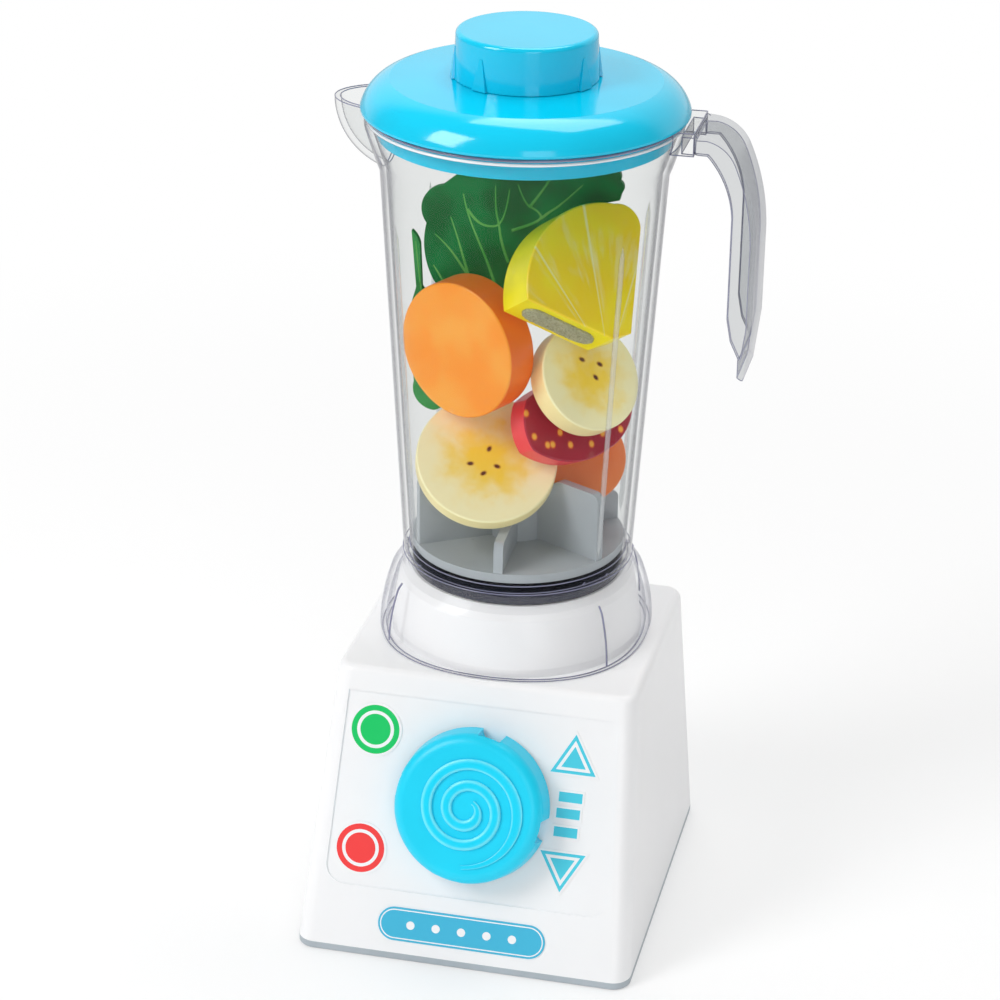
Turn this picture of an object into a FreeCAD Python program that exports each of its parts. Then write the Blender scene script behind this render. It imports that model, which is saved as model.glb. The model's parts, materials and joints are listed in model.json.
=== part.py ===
"""Toy blender: a hand-turned play blender with a lift-off jar, a lid and loose play food.

Millimetres, +Z up. The origin is where the drive axis meets the surface that the base stands on.
The knob faces -Y, the jar's handle points to +X and its spout to -X.
"""
import FreeCAD, Part
import math
import operator
import os
from types import SimpleNamespace

import Sketcher
from FreeCAD import Placement, Rotation, Vector

SIZES = [
    ("base_height", 97.0, "top of the base, where the jar's collar rests"),
    ("plate_height", 2.8, "thickness of the grey plate under the base"),
    ("foot_half", 60.3, "half width of the base at its foot"),
    ("brow_half", 54.0, "half width of the base at its top"),
    ("front_foot", 83.68, "drive axis to the foot of the front face"),
    ("back_foot", 50.87, "drive axis to the foot of the back"),
    ("back_brow", 43.1, "drive axis to the top of the back"),
    ("back_bulge", 48.9, "radius of the back's bulge under the jar"),
    ("bulge_foot", 44.5, "radius where that bulge starts"),
    ("bulge_foot_height", 70.0, "height where that bulge starts"),
    ("corner_round", 6.5, "upright corners of the base"),
    ("cavity_round", 4.0, "upright corners of the base's hollow"),
    ("top_round", 3.0, "edges round the top of the base"),
    ("plate_round", 0.6, "lower edge of the plate"),
    ("shell_wall", 2.4, "wall of the base shell"),
    ("face_lean", 19.94, "degrees that the front face leans back"),
    ("apex_height", 32.57, "height where the knob's axis meets the drive axis"),
    ("panel_half_top", 48.5, "half width of the control panel at its top"),
    ("panel_half_foot", 51.5, "half width of the control panel at its foot"),
    ("panel_up", 35.1, "knob axis to the panel's top edge"),
    ("panel_down", 34.3, "knob axis to the panel's lower edge"),
    ("panel_depth", 0.5, "depth of the panel in the face"),
    ("panel_round", 7.0, "corners of the panel"),
    ("pedestal_height", 121.5, "top of the white pedestal under the jar"),
    ("pedestal_rim", 38.6, "radius of the pedestal's top"),
    ("pedestal_neck", 41.2, "radius of the pedestal below its top edge"),
    ("pedestal_shoulder", 42.4, "radius of the pedestal at its shoulder"),
    ("pedestal_foot", 45.3, "radius of the pedestal at the base"),
    ("pedestal_well", 35.5, "radius of the space inside the pedestal"),
    ("boss_radius", 4.0, "screw bosses and posts"),
    ("boss_height", 20.0, "length of the shell's screw bosses"),
    ("boss_side", 54.3, "mid-plane to the screw bosses"),
    ("boss_front", 68.0, "drive axis to the front bosses"),
    ("boss_back", 41.5, "drive axis to the back bosses"),
    ("screw_radius", 1.5, "thread of every screw"),
    ("screw_head", 3.0, "radius of every screw head"),
    ("screw_head_height", 1.6, "height of every screw head"),
    ("cover_screw_length", 12.0, "cover screw past its head"),
    ("frame_screw_length", 8.0, "frame screw past its head"),
    ("screw_slot", 0.7, "width of the cross in a screw head"),
    ("screw_gap", 0.05, "gap round each screw"),
    ("screw_recess", 0.4, "how far a cover screw sits above the plate's lower side"),
    ("post_side", 27.0, "mid-plane to the frame's posts"),
    ("post_front", 19.0, "drive axis to the front posts"),
    ("post_back", 15.0, "drive axis to the back posts"),
    ("post_height", 5.2, "posts under the gear frame"),
    ("frame_wall", 3.0, "thickness of the gear frame's floor"),
    ("frame_margin", 5.0, "gear frame past its screws"),
    ("frame_post", 6.0, "radius of the spindle's lower bearing"),
    ("frame_post_top", 28.0, "top of the spindle's lower bearing"),
    ("arm_half", 7.0, "half width of the arm that holds the knob's shaft"),
    ("arm_near", 8.6, "near side of the arm, along the knob's axis"),
    ("arm_far", 13.0, "far side of the arm, along the knob's axis"),
    ("arm_top", 6.5, "knob axis to the top of the arm"),
    ("arm_foot", 29.0, "knob axis to the foot of the arm"),
    ("shaft_radius", 3.0, "knob shaft"),
    ("shaft_near", 8.8, "inner end of the knob shaft, along its axis"),
    ("shaft_grip", 8.0, "knob shaft past the front face"),
    ("spindle_radius", 2.5, "spindle"),
    ("spindle_foot", 14.5, "lower end of the spindle"),
    ("spindle_top", 130.0, "upper end of the spindle"),
    ("running_gap", 0.05, "gap round a turning shaft"),
    ("fixed_gap", 0.02, "gap round a part held on a shaft"),
    ("bush_wall", 3.0, "wall of both bushes"),
    ("bush_flange", 2.2, "flange of both bushes, past their wall and thick"),
    ("knob_bush_length", 13.0, "bush of the knob shaft"),
    ("spindle_bush_length", 9.0, "bush of the spindle"),
    ("clip_width", 2.6, "width of each retaining ring"),
    ("clip_height", 1.0, "thickness of each retaining ring"),
    ("clip_gap", 0.15, "retaining ring to its bush"),
    ("gear_teeth", 24, "teeth of the knob's bevel gear"),
    ("pinion_teeth", 12, "teeth of the spindle's bevel gear"),
    ("gear_module", 1.9, "module of the bevel gears at their large end"),
    ("gear_face", 8.0, "length of the teeth"),
    ("tooth_rise", 2.84, "degrees of a tooth above the pitch cone"),
    ("tooth_drop", 3.5, "degrees of a tooth below the pitch cone"),
    ("gear_tooth_tip", 1.5, "degrees to each side, tip of the gear's tooth"),
    ("gear_tooth_root", 4.9, "degrees to each side, root of the gear's tooth"),
    ("pinion_tooth_tip", 2.85, "degrees to each side, tip of the pinion's tooth"),
    ("pinion_tooth_root", 10.2, "degrees to each side, root of the pinion's tooth"),
    ("gear_web_radius", 19.8, "disc behind the knob gear's teeth"),
    ("gear_web", 3.0, "thickness of that disc"),
    ("gear_hub", 6.5, "radius of the knob gear's hub"),
    ("gear_hub_length", 7.0, "hub behind the gear's disc"),
    ("pinion_hub", 6.0, "radius of the pinion's hub"),
    ("pinion_hub_length", 6.0, "hub above the pinion"),
    ("knob_radius", 27.4, "knob at its base"),
    ("knob_waist", 26.6, "knob where its edge starts to round"),
    ("knob_face", 22.6, "flat of the knob's face"),
    ("knob_height", 12.0, "knob face above the front face"),
    ("knob_gap", 0.5, "knob above the front face"),
    ("knob_edge", 4.0, "rounded edge of the knob, along its axis"),
    ("knob_wall", 2.4, "wall of the knob"),
    ("notch_radius", 4.3, "the knob's four finger notches"),
    ("notch_turn", 11.5, "degrees that the notches are turned clockwise"),
    ("notch_reach", 27.6, "knob's axis to the axis of a notch"),
    ("notch_top", 9.6, "top of a notch above the front face"),
    ("knob_hub", 6.0, "hub inside the knob"),
    ("disc_radius", 37.8, "dark drive disc under the jar"),
    ("disc_gap", 0.4, "drive disc above the pedestal"),
    ("disc_height", 3.4, "thickness of the drive disc"),
    ("dog_radius", 6.2, "corners of the six-sided drive dog"),
    ("dog_height", 5.6, "drive dog above its disc"),
    ("socket_gap", 0.4, "play round the drive dog"),
    ("collar_wall", 2.0, "wall of the jar's collar"),
    ("collar_neck", 41.4, "collar at the jar's floor"),
    ("collar_drop", 3.6, "upright neck of the collar"),
    ("collar_shoulder", 45.3, "collar below its shoulder"),
    ("collar_shoulder_height", 118.3, "height below the collar's shoulder"),
    ("collar_belly", 48.8, "collar at its widest"),
    ("collar_belly_height", 99.4, "height of the collar's widest place"),
    ("collar_foot", 48.1, "collar at its foot"),
    ("collar_gap", 0.1, "collar's foot above the base"),
    ("collar_side_bend", 62.0, "radius of the collar's bulging side"),
    ("jar_floor", 127.4, "lower side of the jar's floor"),
    ("jar_wall", 2.2, "wall and floor of the jar"),
    ("jar_foot", 41.0, "jar at its floor"),
    ("jar_foot_round", 1.5, "outer edge round the jar's floor"),
    ("jar_neck", 49.4, "jar below its flared mouth"),
    ("jar_neck_height", 269.6, "height of the jar's neck"),
    ("jar_step", 50.5, "foot of the jar's flared mouth"),
    ("jar_step_height", 272.4, "height of the foot of the flared mouth"),
    ("jar_flare", 53.6, "jar's mouth below its rim"),
    ("jar_flare_height", 281.8, "height below the rim"),
    ("jar_rim", 54.6, "jar at its rim"),
    ("jar_rim_foot", 285.0, "lower side of the jar's rim"),
    ("jar_top", 290.4, "top of the jar"),
    ("spout_root", 40.0, "drive axis to the middle of the spout's bowl"),
    ("spout_reach", 26.6, "length of the spout's bowl"),
    ("spout_half", 17.0, "half width of the spout's bowl"),
    ("spout_depth", 26.0, "depth of the spout's bowl"),
    ("handle_half", 13.5, "half width of the handle"),
    ("handle_wall", 2.2, "wall of the handle"),
    ("handle_root", 60.0, "where the handle meets the jar's boss"),
    ("handle_brow", 290.0, "top of the handle at its root"),
    ("handle_chin", 283.0, "lower side of the handle at its root"),
    ("handle_boss_root", 50.0, "inner end of that boss, inside the jar's wall"),
    ("handle_boss_foot", 282.4, "lower side of that boss"),
    ("handle_edge", 1.8, "rounded long edges of the handle"),
    ("handle_gap", 0.05, "gap between the handle and its boss"),
    ("bearing_radius", 11.4, "bush in the jar's floor"),
    ("axle_radius", 8.8, "hub shaft of the impeller"),
    ("axle_foot", 126.2, "lower end of the hub shaft"),
    ("axle_top", 134.0, "upper end of the hub shaft"),
    ("axle_gap", 0.08, "running gap round the hub shaft"),
    ("socket_top", 131.6, "upper end of the six-sided socket"),
    ("impeller_radius", 37.9, "impeller's disc"),
    ("impeller_foot", 130.2, "lower side of the impeller's disc"),
    ("impeller_disc", 3.2, "thickness of the impeller's disc"),
    ("impeller_hub", 10.5, "hub of the impeller"),
    ("impeller_hub_top", 146.5, "top of the impeller's hub"),
    ("hub_round", 3.0, "rounded top of the hub"),
    ("vane_wall", 3.3, "thickness of a vane"),
    ("tall_vane_top", 158.5, "top of the three tall vanes"),
    ("low_vane_top", 144.8, "top of the three low vanes"),
    ("tall_vane_root", 20.0, "axis to the inner end of a tall vane's top"),
    ("tall_vane_bend", 16.0, "radius of a tall vane's inner edge"),
    ("vane_root", 9.7, "axis to the inner edge of every vane"),
    ("vane_tip", 37.6, "axis to the outer edge of a vane"),
    ("vane_round", 3.0, "outer upper corner of a vane"),
    ("vane_turn", -28.0, "degrees from +X round to the first tall vane"),
    ("lid_radius", 55.9, "lid at its edge"),
    ("lid_foot", 290.5, "lower side of the lid's edge"),
    ("lid_edge", 0.8, "upright part of the lid's edge"),
    ("lid_shoulder", 46.2, "where the lid's edge starts to round"),
    ("lid_shoulder_height", 300.9, "height of the lid at its shoulder"),
    ("lid_bend", 14.0, "radius of the lid's rounded edge"),
    ("lid_top", 301.7, "top of the lid at its cap"),
    ("lid_wall", 2.4, "wall of the lid"),
    ("plug_radius", 50.5, "plug of the lid"),
    ("plug_foot", 281.6, "lower end of the plug"),
    ("plug_wall", 2.2, "wall of the plug"),
    ("cap_hole", 20.4, "hole in the lid"),
    ("cap_top", 317.6, "top of the cap"),
    ("cap_radius", 24.6, "cap at its foot"),
    ("cap_brow", 23.9, "cap at its top"),
    ("cap_round", 1.6, "rounded edge of the cap"),
    ("cap_spigot", 20.0, "spigot of the cap"),
    ("spigot_foot", 294.0, "lower end of the spigot"),
    ("cap_wall", 2.3, "wall of the cap"),
    ("cap_gap", 0.1, "cap above the lid"),
    ("grip_height", 10.5, "grip ridges of the cap"),
    ("grip_half", 2.9, "half width of a ridge at its foot"),
    ("grip_peak", 0.5, "half width of a ridge at its top"),
    ("grip_rise", 0.9, "how far a ridge stands out"),
    ("grip_turn", 19.0, "degrees from +X to the middle ridge"),
    ("grip_step", 45.0, "degrees between ridges"),
    ("sticker_wall", 0.25, "thickness of the stickers"),
    ("sticker_gap", 0.02, "glue under a sticker"),
    ("dot_radius", 9.6, "round stickers"),
    ("arrow_half", 9.4, "half the base of an arrow sticker"),
    ("arrow_height", 16.3, "height of an arrow sticker"),
    ("bar_half", 4.9, "half width of a bar sticker"),
    ("bar_rise", 2.5, "half height of a bar sticker"),
    ("label_half", 30.2, "half width of the label"),
    ("label_rise", 6.0, "half height of the label"),
    ("orange_radius", 24.3, "orange slice"),
    ("orange_wall", 13.0, "thickness of the orange slice"),
    ("banana_radius", 24.9, "lower banana slice"),
    ("banana_wall", 5.8, "thickness of the lower banana slice"),
    ("small_banana_radius", 19.3, "upper banana slice"),
    ("small_banana_wall", 9.2, "thickness of the upper banana slice"),
    ("peach_radius", 16.3, "peach slice"),
    ("peach_wall", 7.5, "thickness of the peach slice"),
    ("wedge_wall", 17.0, "thickness of the pineapple wedge"),
    ("patch_half", 13.5, "half length of the hook-and-loop patch"),
    ("patch_rise", 4.8, "half width of the patch"),
    ("patch_wall", 0.8, "thickness of the patch"),
    ("berry_wall", 9.0, "thickness of the strawberry slice"),
    ("food_edge", 0.8, "rounded edges of the wooden slices"),
    ("leaf_wall", 2.2, "thickness of the leaves"),
    ("kale_depth", 19.4, "drive axis to the back of the kale leaf"),
    ("spinach_depth", 8.2, "drive axis to the back of the spinach leaf"),
]

# Places on the front face, across from the knob's axis and up the slope from it.
START_PLACE = (-37.7, 22.0)
STOP_PLACE = (-39.4, -20.8)
UP_PLACE = (34.1, 19.7)
DOWN_PLACE = (33.2, -17.7)
BAR_PLACES = ((34.1, 6.7), (33.7, 0.9), (33.4, -5.7))
LABEL_PLACE = (-0.3, -46.0)

# A point of each slice's face, then the azimuth and the rise in degrees of the way it looks.
ORANGE_PLACE = (-19.3, -17.5, 206.9, -115.6, 0)
BANANA_PLACE = (-8.3, -15.2, 166.7, -70, 50)
SMALL_BANANA_PLACE = (26.8, -8.6, 198.9, -42, 34)
PEACH_PLACE = (21.0, 7.6, 160.6, -66, 26)
WEDGE_PLACE = (36.0, -20.2, 218.0, -44, 32)
BERRY_PLACE = (21.7, -6.5, 178.5, -42, 28)

# Outlines: corners across and up, with a bend where an arc leads to the next corner.
HANDLE_OUTSIDE = (
    (64.2, 289.6, -15.0), (75.2, 281.4, -75.0), (82.0, 248.0), (82.0, 222.0), (79.9, 204.0),
)
HANDLE_INSIDE = (
    (77.9, 205.5), (77.9, 212.5), (75.0, 218.5), (73.5, 226.5), (73.5, 262.0, 33.8),
    (64.5, 283.0),
)
HANDLE_CHANNEL = (
    (59.0, 270.0), (65.0, 206.0), (78.5, 212.0), (79.8, 222.0), (79.8, 248.0, 72.8),
    (73.4, 280.1, 13.0), (63.8, 287.4), (59.0, 287.4),
)
WEDGE_OUTLINE = ((0, 0), (8.2, 0.5), (24.0, 35.1, 8.0), (16.6, 45.4, 34.0), (-28.0, 19.4))
BERRY_OUTLINE = (
    (-19.8, -4.0, 30.0), (10.5, -10.6, 20.0), (25.1, 1.0), (22.5, 11.5, 44.0), (-17.0, 13.5, 18.0),
)
KALE_OUTLINE = (
    (-16.0, 214.0), (6.0, 226.0), (19.0, 251.5), (30.0, 254.5), (30.6, 257.0, 3.0),
    (30.0, 261.5, 3.0), (29.3, 265.0), (28.6, 269.0), (-24.5, 269.0), (-28.6, 263.5),
    (-26.9, 259.5), (-33.0, 254.4, 9.0), (-38.8, 240.0, 30.0), (-37.0, 220.5, 14.0),
    (-30.0, 213.5, 14.0),
)
SPINACH_OUTLINE = (
    (-41.3, 240.8), (-39.6, 220.0), (-42.1, 211.0), (-41.4, 200.0), (-40.4, 184.0, 8.0),
    (-33.0, 173.7, 9.0), (-26.5, 182.0, 40.0), (-31.0, 211.0), (-37.6, 220.1), (-38.3, 235.8, 8.0),
)

OPERATIONS = {
    "+": operator.add, "-": operator.sub, "*": operator.mul, "/": operator.truediv,
}


class Size:
    """A length or an angle: its number, and the formula on the sheet that gives it."""

    def __init__(self, value, formula):
        self.value = float(value)
        self.formula = formula

    def __float__(self):
        return self.value

    def __add__(self, other):
        return joined(self, "+", other)

    def __radd__(self, other):
        return joined(other, "+", self)

    def __sub__(self, other):
        return joined(self, "-", other)

    def __rsub__(self, other):
        return joined(other, "-", self)

    def __mul__(self, other):
        return joined(self, "*", other)

    def __rmul__(self, other):
        return joined(other, "*", self)

    def __truediv__(self, other):
        return joined(self, "/", other)

    def __neg__(self):
        return joined(-1, "*", self)


def as_size(value):
    """A plain number as a Size, or a Size as it is."""
    return value if isinstance(value, Size) else Size(value, f"({float(value):.6f})")


def joined(first, sign, second):
    """The Size that one operation on two others gives."""
    first, second = as_size(first), as_size(second)
    value = OPERATIONS[sign](first.value, second.value)
    return Size(value, f"({first.formula} {sign} {second.formula})")


def sine(angle):
    angle = as_size(angle)
    return Size(math.sin(math.radians(angle.value)), f"sin({angle.formula})")


def cosine(angle):
    angle = as_size(angle)
    return Size(math.cos(math.radians(angle.value)), f"cos({angle.formula})")


document = FreeCAD.newDocument("ToyBlender")
sheet = document.addObject("Spreadsheet::Sheet", "Sizes")
for row, (alias, value, meaning) in enumerate(SIZES, start=1):
    sheet.set(f"A{row}", alias)
    sheet.set(f"B{row}", str(value))
    sheet.set(f"C{row}", meaning)
    sheet.setAlias(f"B{row}", alias)
document.recompute()

size = SimpleNamespace(**{alias: Size(value, f"Sizes.{alias}") for alias, value, _ in SIZES})
pieces = []

# The front face's slope, and how far along the knob's axis the face and its panel lie.
lean_sine, lean_cosine = sine(size.face_lean), cosine(size.face_lean)
lean_slope = lean_sine / lean_cosine
face_reach = (
    (size.front_foot + size.plate_height * lean_slope) * lean_cosine
    - size.apex_height * lean_sine
)
panel_reach = face_reach - size.panel_depth
front_brow = size.front_foot - (size.base_height - size.plate_height) * lean_slope


def bind(thing, **sizes):
    """Ties properties of an object to formulas on the sheet."""
    for name, value in sizes.items():
        thing.setExpression(name, as_size(value).formula)
    return thing


def set_down(thing, across=0, forward=0, height=0):
    """Puts an object at a spot, turned as it is already."""
    for axis, value in zip("xyz", (across, forward, height)):
        thing.setExpression(f"Placement.Base.{axis}", as_size(value).formula)
    return thing


def set_on_face(thing, across=0, up=0, out=0):
    """Turns an object to the knob's axis, and sets it off from where the two axes cross."""
    thing.Placement = Placement(Vector(), Rotation(Vector(1, 0, 0), 90 - size.face_lean.value))
    return set_down(
        thing, across, up * lean_sine - out * lean_cosine,
        size.apex_height + up * lean_cosine + out * lean_sine,
    )


def new_body(label):
    """An empty body that becomes the sub-part of this name."""
    made = document.addObject("PartDesign::Body", label)
    made.Label = label
    pieces.append(made)
    return made


def origin_plane(made, role):
    return next(item for item in made.Origin.OriginFeatures if item.Role == role)


def arc_centre(start, end, bend):
    """Centre of an arc of radius |bend|, on the left of start-end if bend is positive."""
    half = (end - start) * 0.5
    left = Vector(-half.y, half.x, 0).normalize()
    reach = math.sqrt(max(bend * bend - half.Length ** 2, 0.0))
    return start + half + left * math.copysign(reach, bend)


def add_edge(sketch, start, end, bend):
    """Adds a line or, with a bend, an arc, and returns it with its start and end point numbers."""
    if bend == 0:
        return sketch.addGeometry(Part.LineSegment(start, end), False), 1, 2
    centre = arc_centre(start, end, bend)
    first, last = (start, end) if bend > 0 else (end, start)
    angles = [math.atan2(spot.y - centre.y, spot.x - centre.x) for spot in (first, last)]
    circle = Part.Circle(centre, Vector(0, 0, 1), abs(bend))
    item = sketch.addGeometry(Part.ArcOfCircle(circle, angles[0], angles[1]), False)
    return (item, 1, 2) if bend > 0 else (item, 2, 1)


def constrain(sketch, kind, value, *where):
    """Adds a dimension and ties it to its formula."""
    index = sketch.addConstraint(Sketcher.Constraint(kind, *where, float(value)))
    sketch.setExpression(f"Constraints[{index}]", as_size(value).formula)


def draw(made, role, corners, lift=0):
    """A sketch of a closed outline on one of the body's own planes, raised along its normal.

    A corner is (across, up) or (across, up, bend). A bend starts an arc of that radius to the
    next corner, with its centre on the left if it is positive.
    """
    sketch = made.newObject("Sketcher::SketchObject", "Outline")
    sketch.AttachmentSupport = [(origin_plane(made, role), "")]
    sketch.MapMode = "FlatFace"
    sketch.setExpression("AttachmentOffset.Base.z", as_size(lift).formula)
    spots = [Vector(float(corner[0]), float(corner[1]), 0) for corner in corners]
    bends = [corner[2] if len(corner) == 3 else 0 for corner in corners]
    edges = [
        add_edge(sketch, spots[i], spots[(i + 1) % len(spots)], float(bends[i]))
        for i in range(len(corners))
    ]
    for i, (item, first, last) in enumerate(edges):
        following, following_first, _ = edges[(i + 1) % len(edges)]
        sketch.addConstraint(
            Sketcher.Constraint("Coincident", item, last, following, following_first)
        )
        constrain(sketch, "DistanceX", corners[i][0], -1, 1, item, first)
        constrain(sketch, "DistanceY", corners[i][1], -1, 1, item, first)
        if float(bends[i]) != 0:
            constrain(sketch, "Radius", bends[i] if float(bends[i]) > 0 else -bends[i], item)
    return sketch


def must_cut(made, before):
    """Stops the macro if a cut took nothing off the body."""
    if made.Shape.Volume >= before:
        raise ValueError(f"{made.Label}: a cut takes nothing away")


def turned(made, corners, kind="Revolution"):
    """Turns an outline of (radius, height) corners about the body's Z axis, or cuts it out."""
    before = made.Shape.Volume if kind == "Groove" else 0
    sketch = draw(made, "XZ_Plane", corners)
    feature = made.newObject(f"PartDesign::{kind}", kind)
    feature.Profile = sketch
    feature.ReferenceAxis = (sketch, ["V_Axis"])
    feature.Angle = 360
    document.recompute()
    if kind == "Groove":
        must_cut(made, before)
    return feature


def extruded(made, role, corners, length, lift=0, kind="Pad", both_ways=False):
    """Pads an outline along its plane's normal, or pockets it."""
    before = made.Shape.Volume if kind == "Pocket" else 0
    sketch = draw(made, role, corners, lift)
    feature = made.newObject(f"PartDesign::{kind}", kind)
    feature.Profile = sketch
    feature.Midplane = both_ways
    feature.Reversed = kind == "Pocket" and not both_ways
    bind(feature, Length=length)
    document.recompute()
    if kind == "Pocket":
        must_cut(made, before)
    return feature


def repeated(made, feature, count):
    """Repeats a feature evenly round the body's Z axis."""
    pattern = made.newObject("PartDesign::PolarPattern", "Repeated")
    pattern.Originals = [feature]
    pattern.Axis = (feature.Profile[0], ["V_Axis"])
    pattern.Angle = 360
    pattern.Occurrences = count
    made.Tip = pattern
    document.recompute()
    return pattern


def rounded(made, radius, chosen):
    """Rounds those edges of the body that the test picks."""
    tip = made.Tip
    names = [f"Edge{i}" for i, edge in enumerate(tip.Shape.Edges, start=1) if chosen(edge)]
    if not names:
        raise ValueError(f"{made.Label}: no edge to round")
    feature = made.newObject("PartDesign::Fillet", "Rounded")
    feature.Base = (tip, names)
    bind(feature, Radius=radius)
    document.recompute()
    return feature


def block(made, kind, **sizes):
    """One of PartDesign's primitives, added or subtracted once it is in its place."""
    return bind(made.newObject(f"PartDesign::{kind}", kind), **sizes)


def pillar(made, radius, low, high, across=0, forward=0, kind="AdditiveCylinder"):
    """An upright round post from one height to another."""
    post = block(made, kind, Radius=radius, Height=high - low)
    set_down(post, across, forward, low)
    document.recompute()
    return post


def drilled(made, radius, low, high, across=0, forward=0):
    """An upright round hole from one height to another."""
    before = made.Shape.Volume
    hole = pillar(made, radius, low, high, across, forward, "SubtractiveCylinder")
    must_cut(made, before)
    return hole


def spans(edge, low, high):
    """Whether an edge climbs from below one height to above another."""
    box = edge.BoundBox
    return box.ZMin < float(low) and box.ZMax > float(high)


def lies_at(edge, height):
    """Whether an edge lies level at a height."""
    box = edge.BoundBox
    return abs(box.ZMin - float(height)) < 0.01 and abs(box.ZMax - float(height)) < 0.01


def circles_at(edge, radius, height):
    """Whether an edge is a circle of a radius, level at a height."""
    curve = edge.Curve
    round_edge = isinstance(curve, Part.Circle) and abs(curve.Radius - float(radius)) < 0.01
    return round_edge and lies_at(edge, height)


# Base: a hollow shell with a pedestal, closed by a plate that carries the gear frame.


def tapered(foot, brow, height):
    """A side of the base at one height, between its foot and its brow."""
    share = (height - size.plate_height) / (size.base_height - size.plate_height)
    return foot + (brow - foot) * share


def housing(made, kind, inset, top):
    """The base's tapered block up to one height, inset from all of its sides."""
    side = tapered(size.foot_half, size.brow_half, top) - inset
    back = tapered(size.back_foot, size.back_brow, top) - inset
    front = tapered(size.front_foot, front_brow, top) - inset
    feature = block(
        made, kind,
        Xmin=inset - size.foot_half, Xmax=size.foot_half - inset, X2min=-side, X2max=side,
        Zmin=inset - size.back_foot, Zmax=size.front_foot - inset, Z2min=-back, Z2max=front,
        Ymin=size.plate_height, Ymax=top,
    )
    feature.Placement = Placement(Vector(), Rotation(Vector(1, 0, 0), 90))
    document.recompute()
    return feature


def corner_places(side, front, back):
    """The four (across, forward) places of a screw pattern."""
    return [(x, y) for x in (-side, side) for y in (-front, back)]


def boss_places():
    return corner_places(size.boss_side, size.boss_front, size.boss_back)


def post_places():
    return corner_places(size.post_side, size.post_front, size.post_back)


def base_shell():
    made = new_body("base_shell")
    ceiling = size.base_height - size.shell_wall
    inner_side = float(size.foot_half - size.shell_wall) + 0.01
    housing(made, "AdditiveWedge", 0, size.base_height)
    rounded(made, size.corner_round, lambda edge: spans(edge, size.plate_height + 1, ceiling))
    rounded(made, size.top_round, lambda edge: lies_at(edge, size.base_height))
    turned(made, [
        (0, size.bulge_foot_height),
        (size.bulge_foot, size.bulge_foot_height),
        (size.back_bulge, size.base_height),
        (0, size.base_height),
    ])
    housing(made, "SubtractiveWedge", size.shell_wall, ceiling)

    def in_hollow(edge):
        box = edge.BoundBox
        beside = max(abs(box.XMin), abs(box.XMax)) < inner_side
        return beside and spans(edge, size.plate_height + 1, ceiling - 0.1)

    rounded(made, size.cavity_round, in_hollow)
    turned(made, [
        (0, ceiling + 1),
        (size.pedestal_foot, ceiling + 1),
        (size.pedestal_foot, size.base_height + 3),
        (size.pedestal_shoulder, size.collar_shoulder_height - 1),
        (size.pedestal_neck, size.pedestal_height - 2),
        (size.pedestal_rim, size.pedestal_height),
        (0, size.pedestal_height),
    ])
    drilled(made, size.pedestal_well, ceiling - 1, size.pedestal_height - size.shell_wall)
    drilled(made, size.spindle_radius + size.running_gap + size.bush_wall + size.screw_gap,
            size.base_height, size.pedestal_height + 1)
    panel_recess(made)
    for across, forward in boss_places():
        pillar(made, size.boss_radius, size.plate_height, size.plate_height + size.boss_height,
               across, forward)
        drilled(made, size.screw_radius + size.screw_gap, size.plate_height - 1,
                size.plate_height + size.cover_screw_length, across, forward)


def panel_recess(made):
    """The shallow panel in the front face, and the hole for the knob's bush."""
    panel = block(
        made, "SubtractiveWedge",
        Xmin=-size.panel_half_foot, Xmax=size.panel_half_foot,
        X2min=-size.panel_half_top, X2max=size.panel_half_top,
        Ymin=-size.panel_down, Ymax=size.panel_up,
        Zmin=0, Zmax=2 * size.panel_depth, Z2min=0, Z2max=2 * size.panel_depth,
    )
    set_on_face(panel, out=panel_reach)
    document.recompute()
    depth = float(size.panel_depth)
    rounded(made, size.panel_round, lambda edge: abs(edge.Length - depth) < 0.001)
    bush_hole = block(
        made, "SubtractiveCylinder", Height=2 * size.knob_bush_length,
        Radius=size.shaft_radius + size.running_gap + size.bush_wall + size.screw_gap,
    )
    set_on_face(bush_hole, out=face_reach - size.knob_bush_length)
    document.recompute()


def bottom_cover():
    made = new_body("bottom_cover")
    seat = size.screw_recess + size.screw_head_height
    post_top = size.plate_height + size.post_height
    thread_foot = post_top + size.frame_wall - size.frame_screw_length
    extruded(made, "XY_Plane", [
        (-size.foot_half, -size.front_foot),
        (size.foot_half, -size.front_foot),
        (size.foot_half, size.back_foot),
        (-size.foot_half, size.back_foot),
    ], size.plate_height)
    rounded(made, size.corner_round, lambda edge: spans(edge, 1, size.plate_height - 1))
    rounded(made, size.plate_round, lambda edge: lies_at(edge, 0))
    for across, forward in boss_places():
        drilled(made, size.screw_radius + size.screw_gap, -1, size.plate_height + 1,
                across, forward)
        drilled(made, size.screw_head + size.screw_gap, -1, seat, across, forward)
    for across, forward in post_places():
        pillar(made, size.boss_radius, size.plate_height - 1, post_top, across, forward)
        drilled(made, size.screw_radius + size.screw_gap, thread_foot, post_top + 1,
                across, forward)


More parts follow.
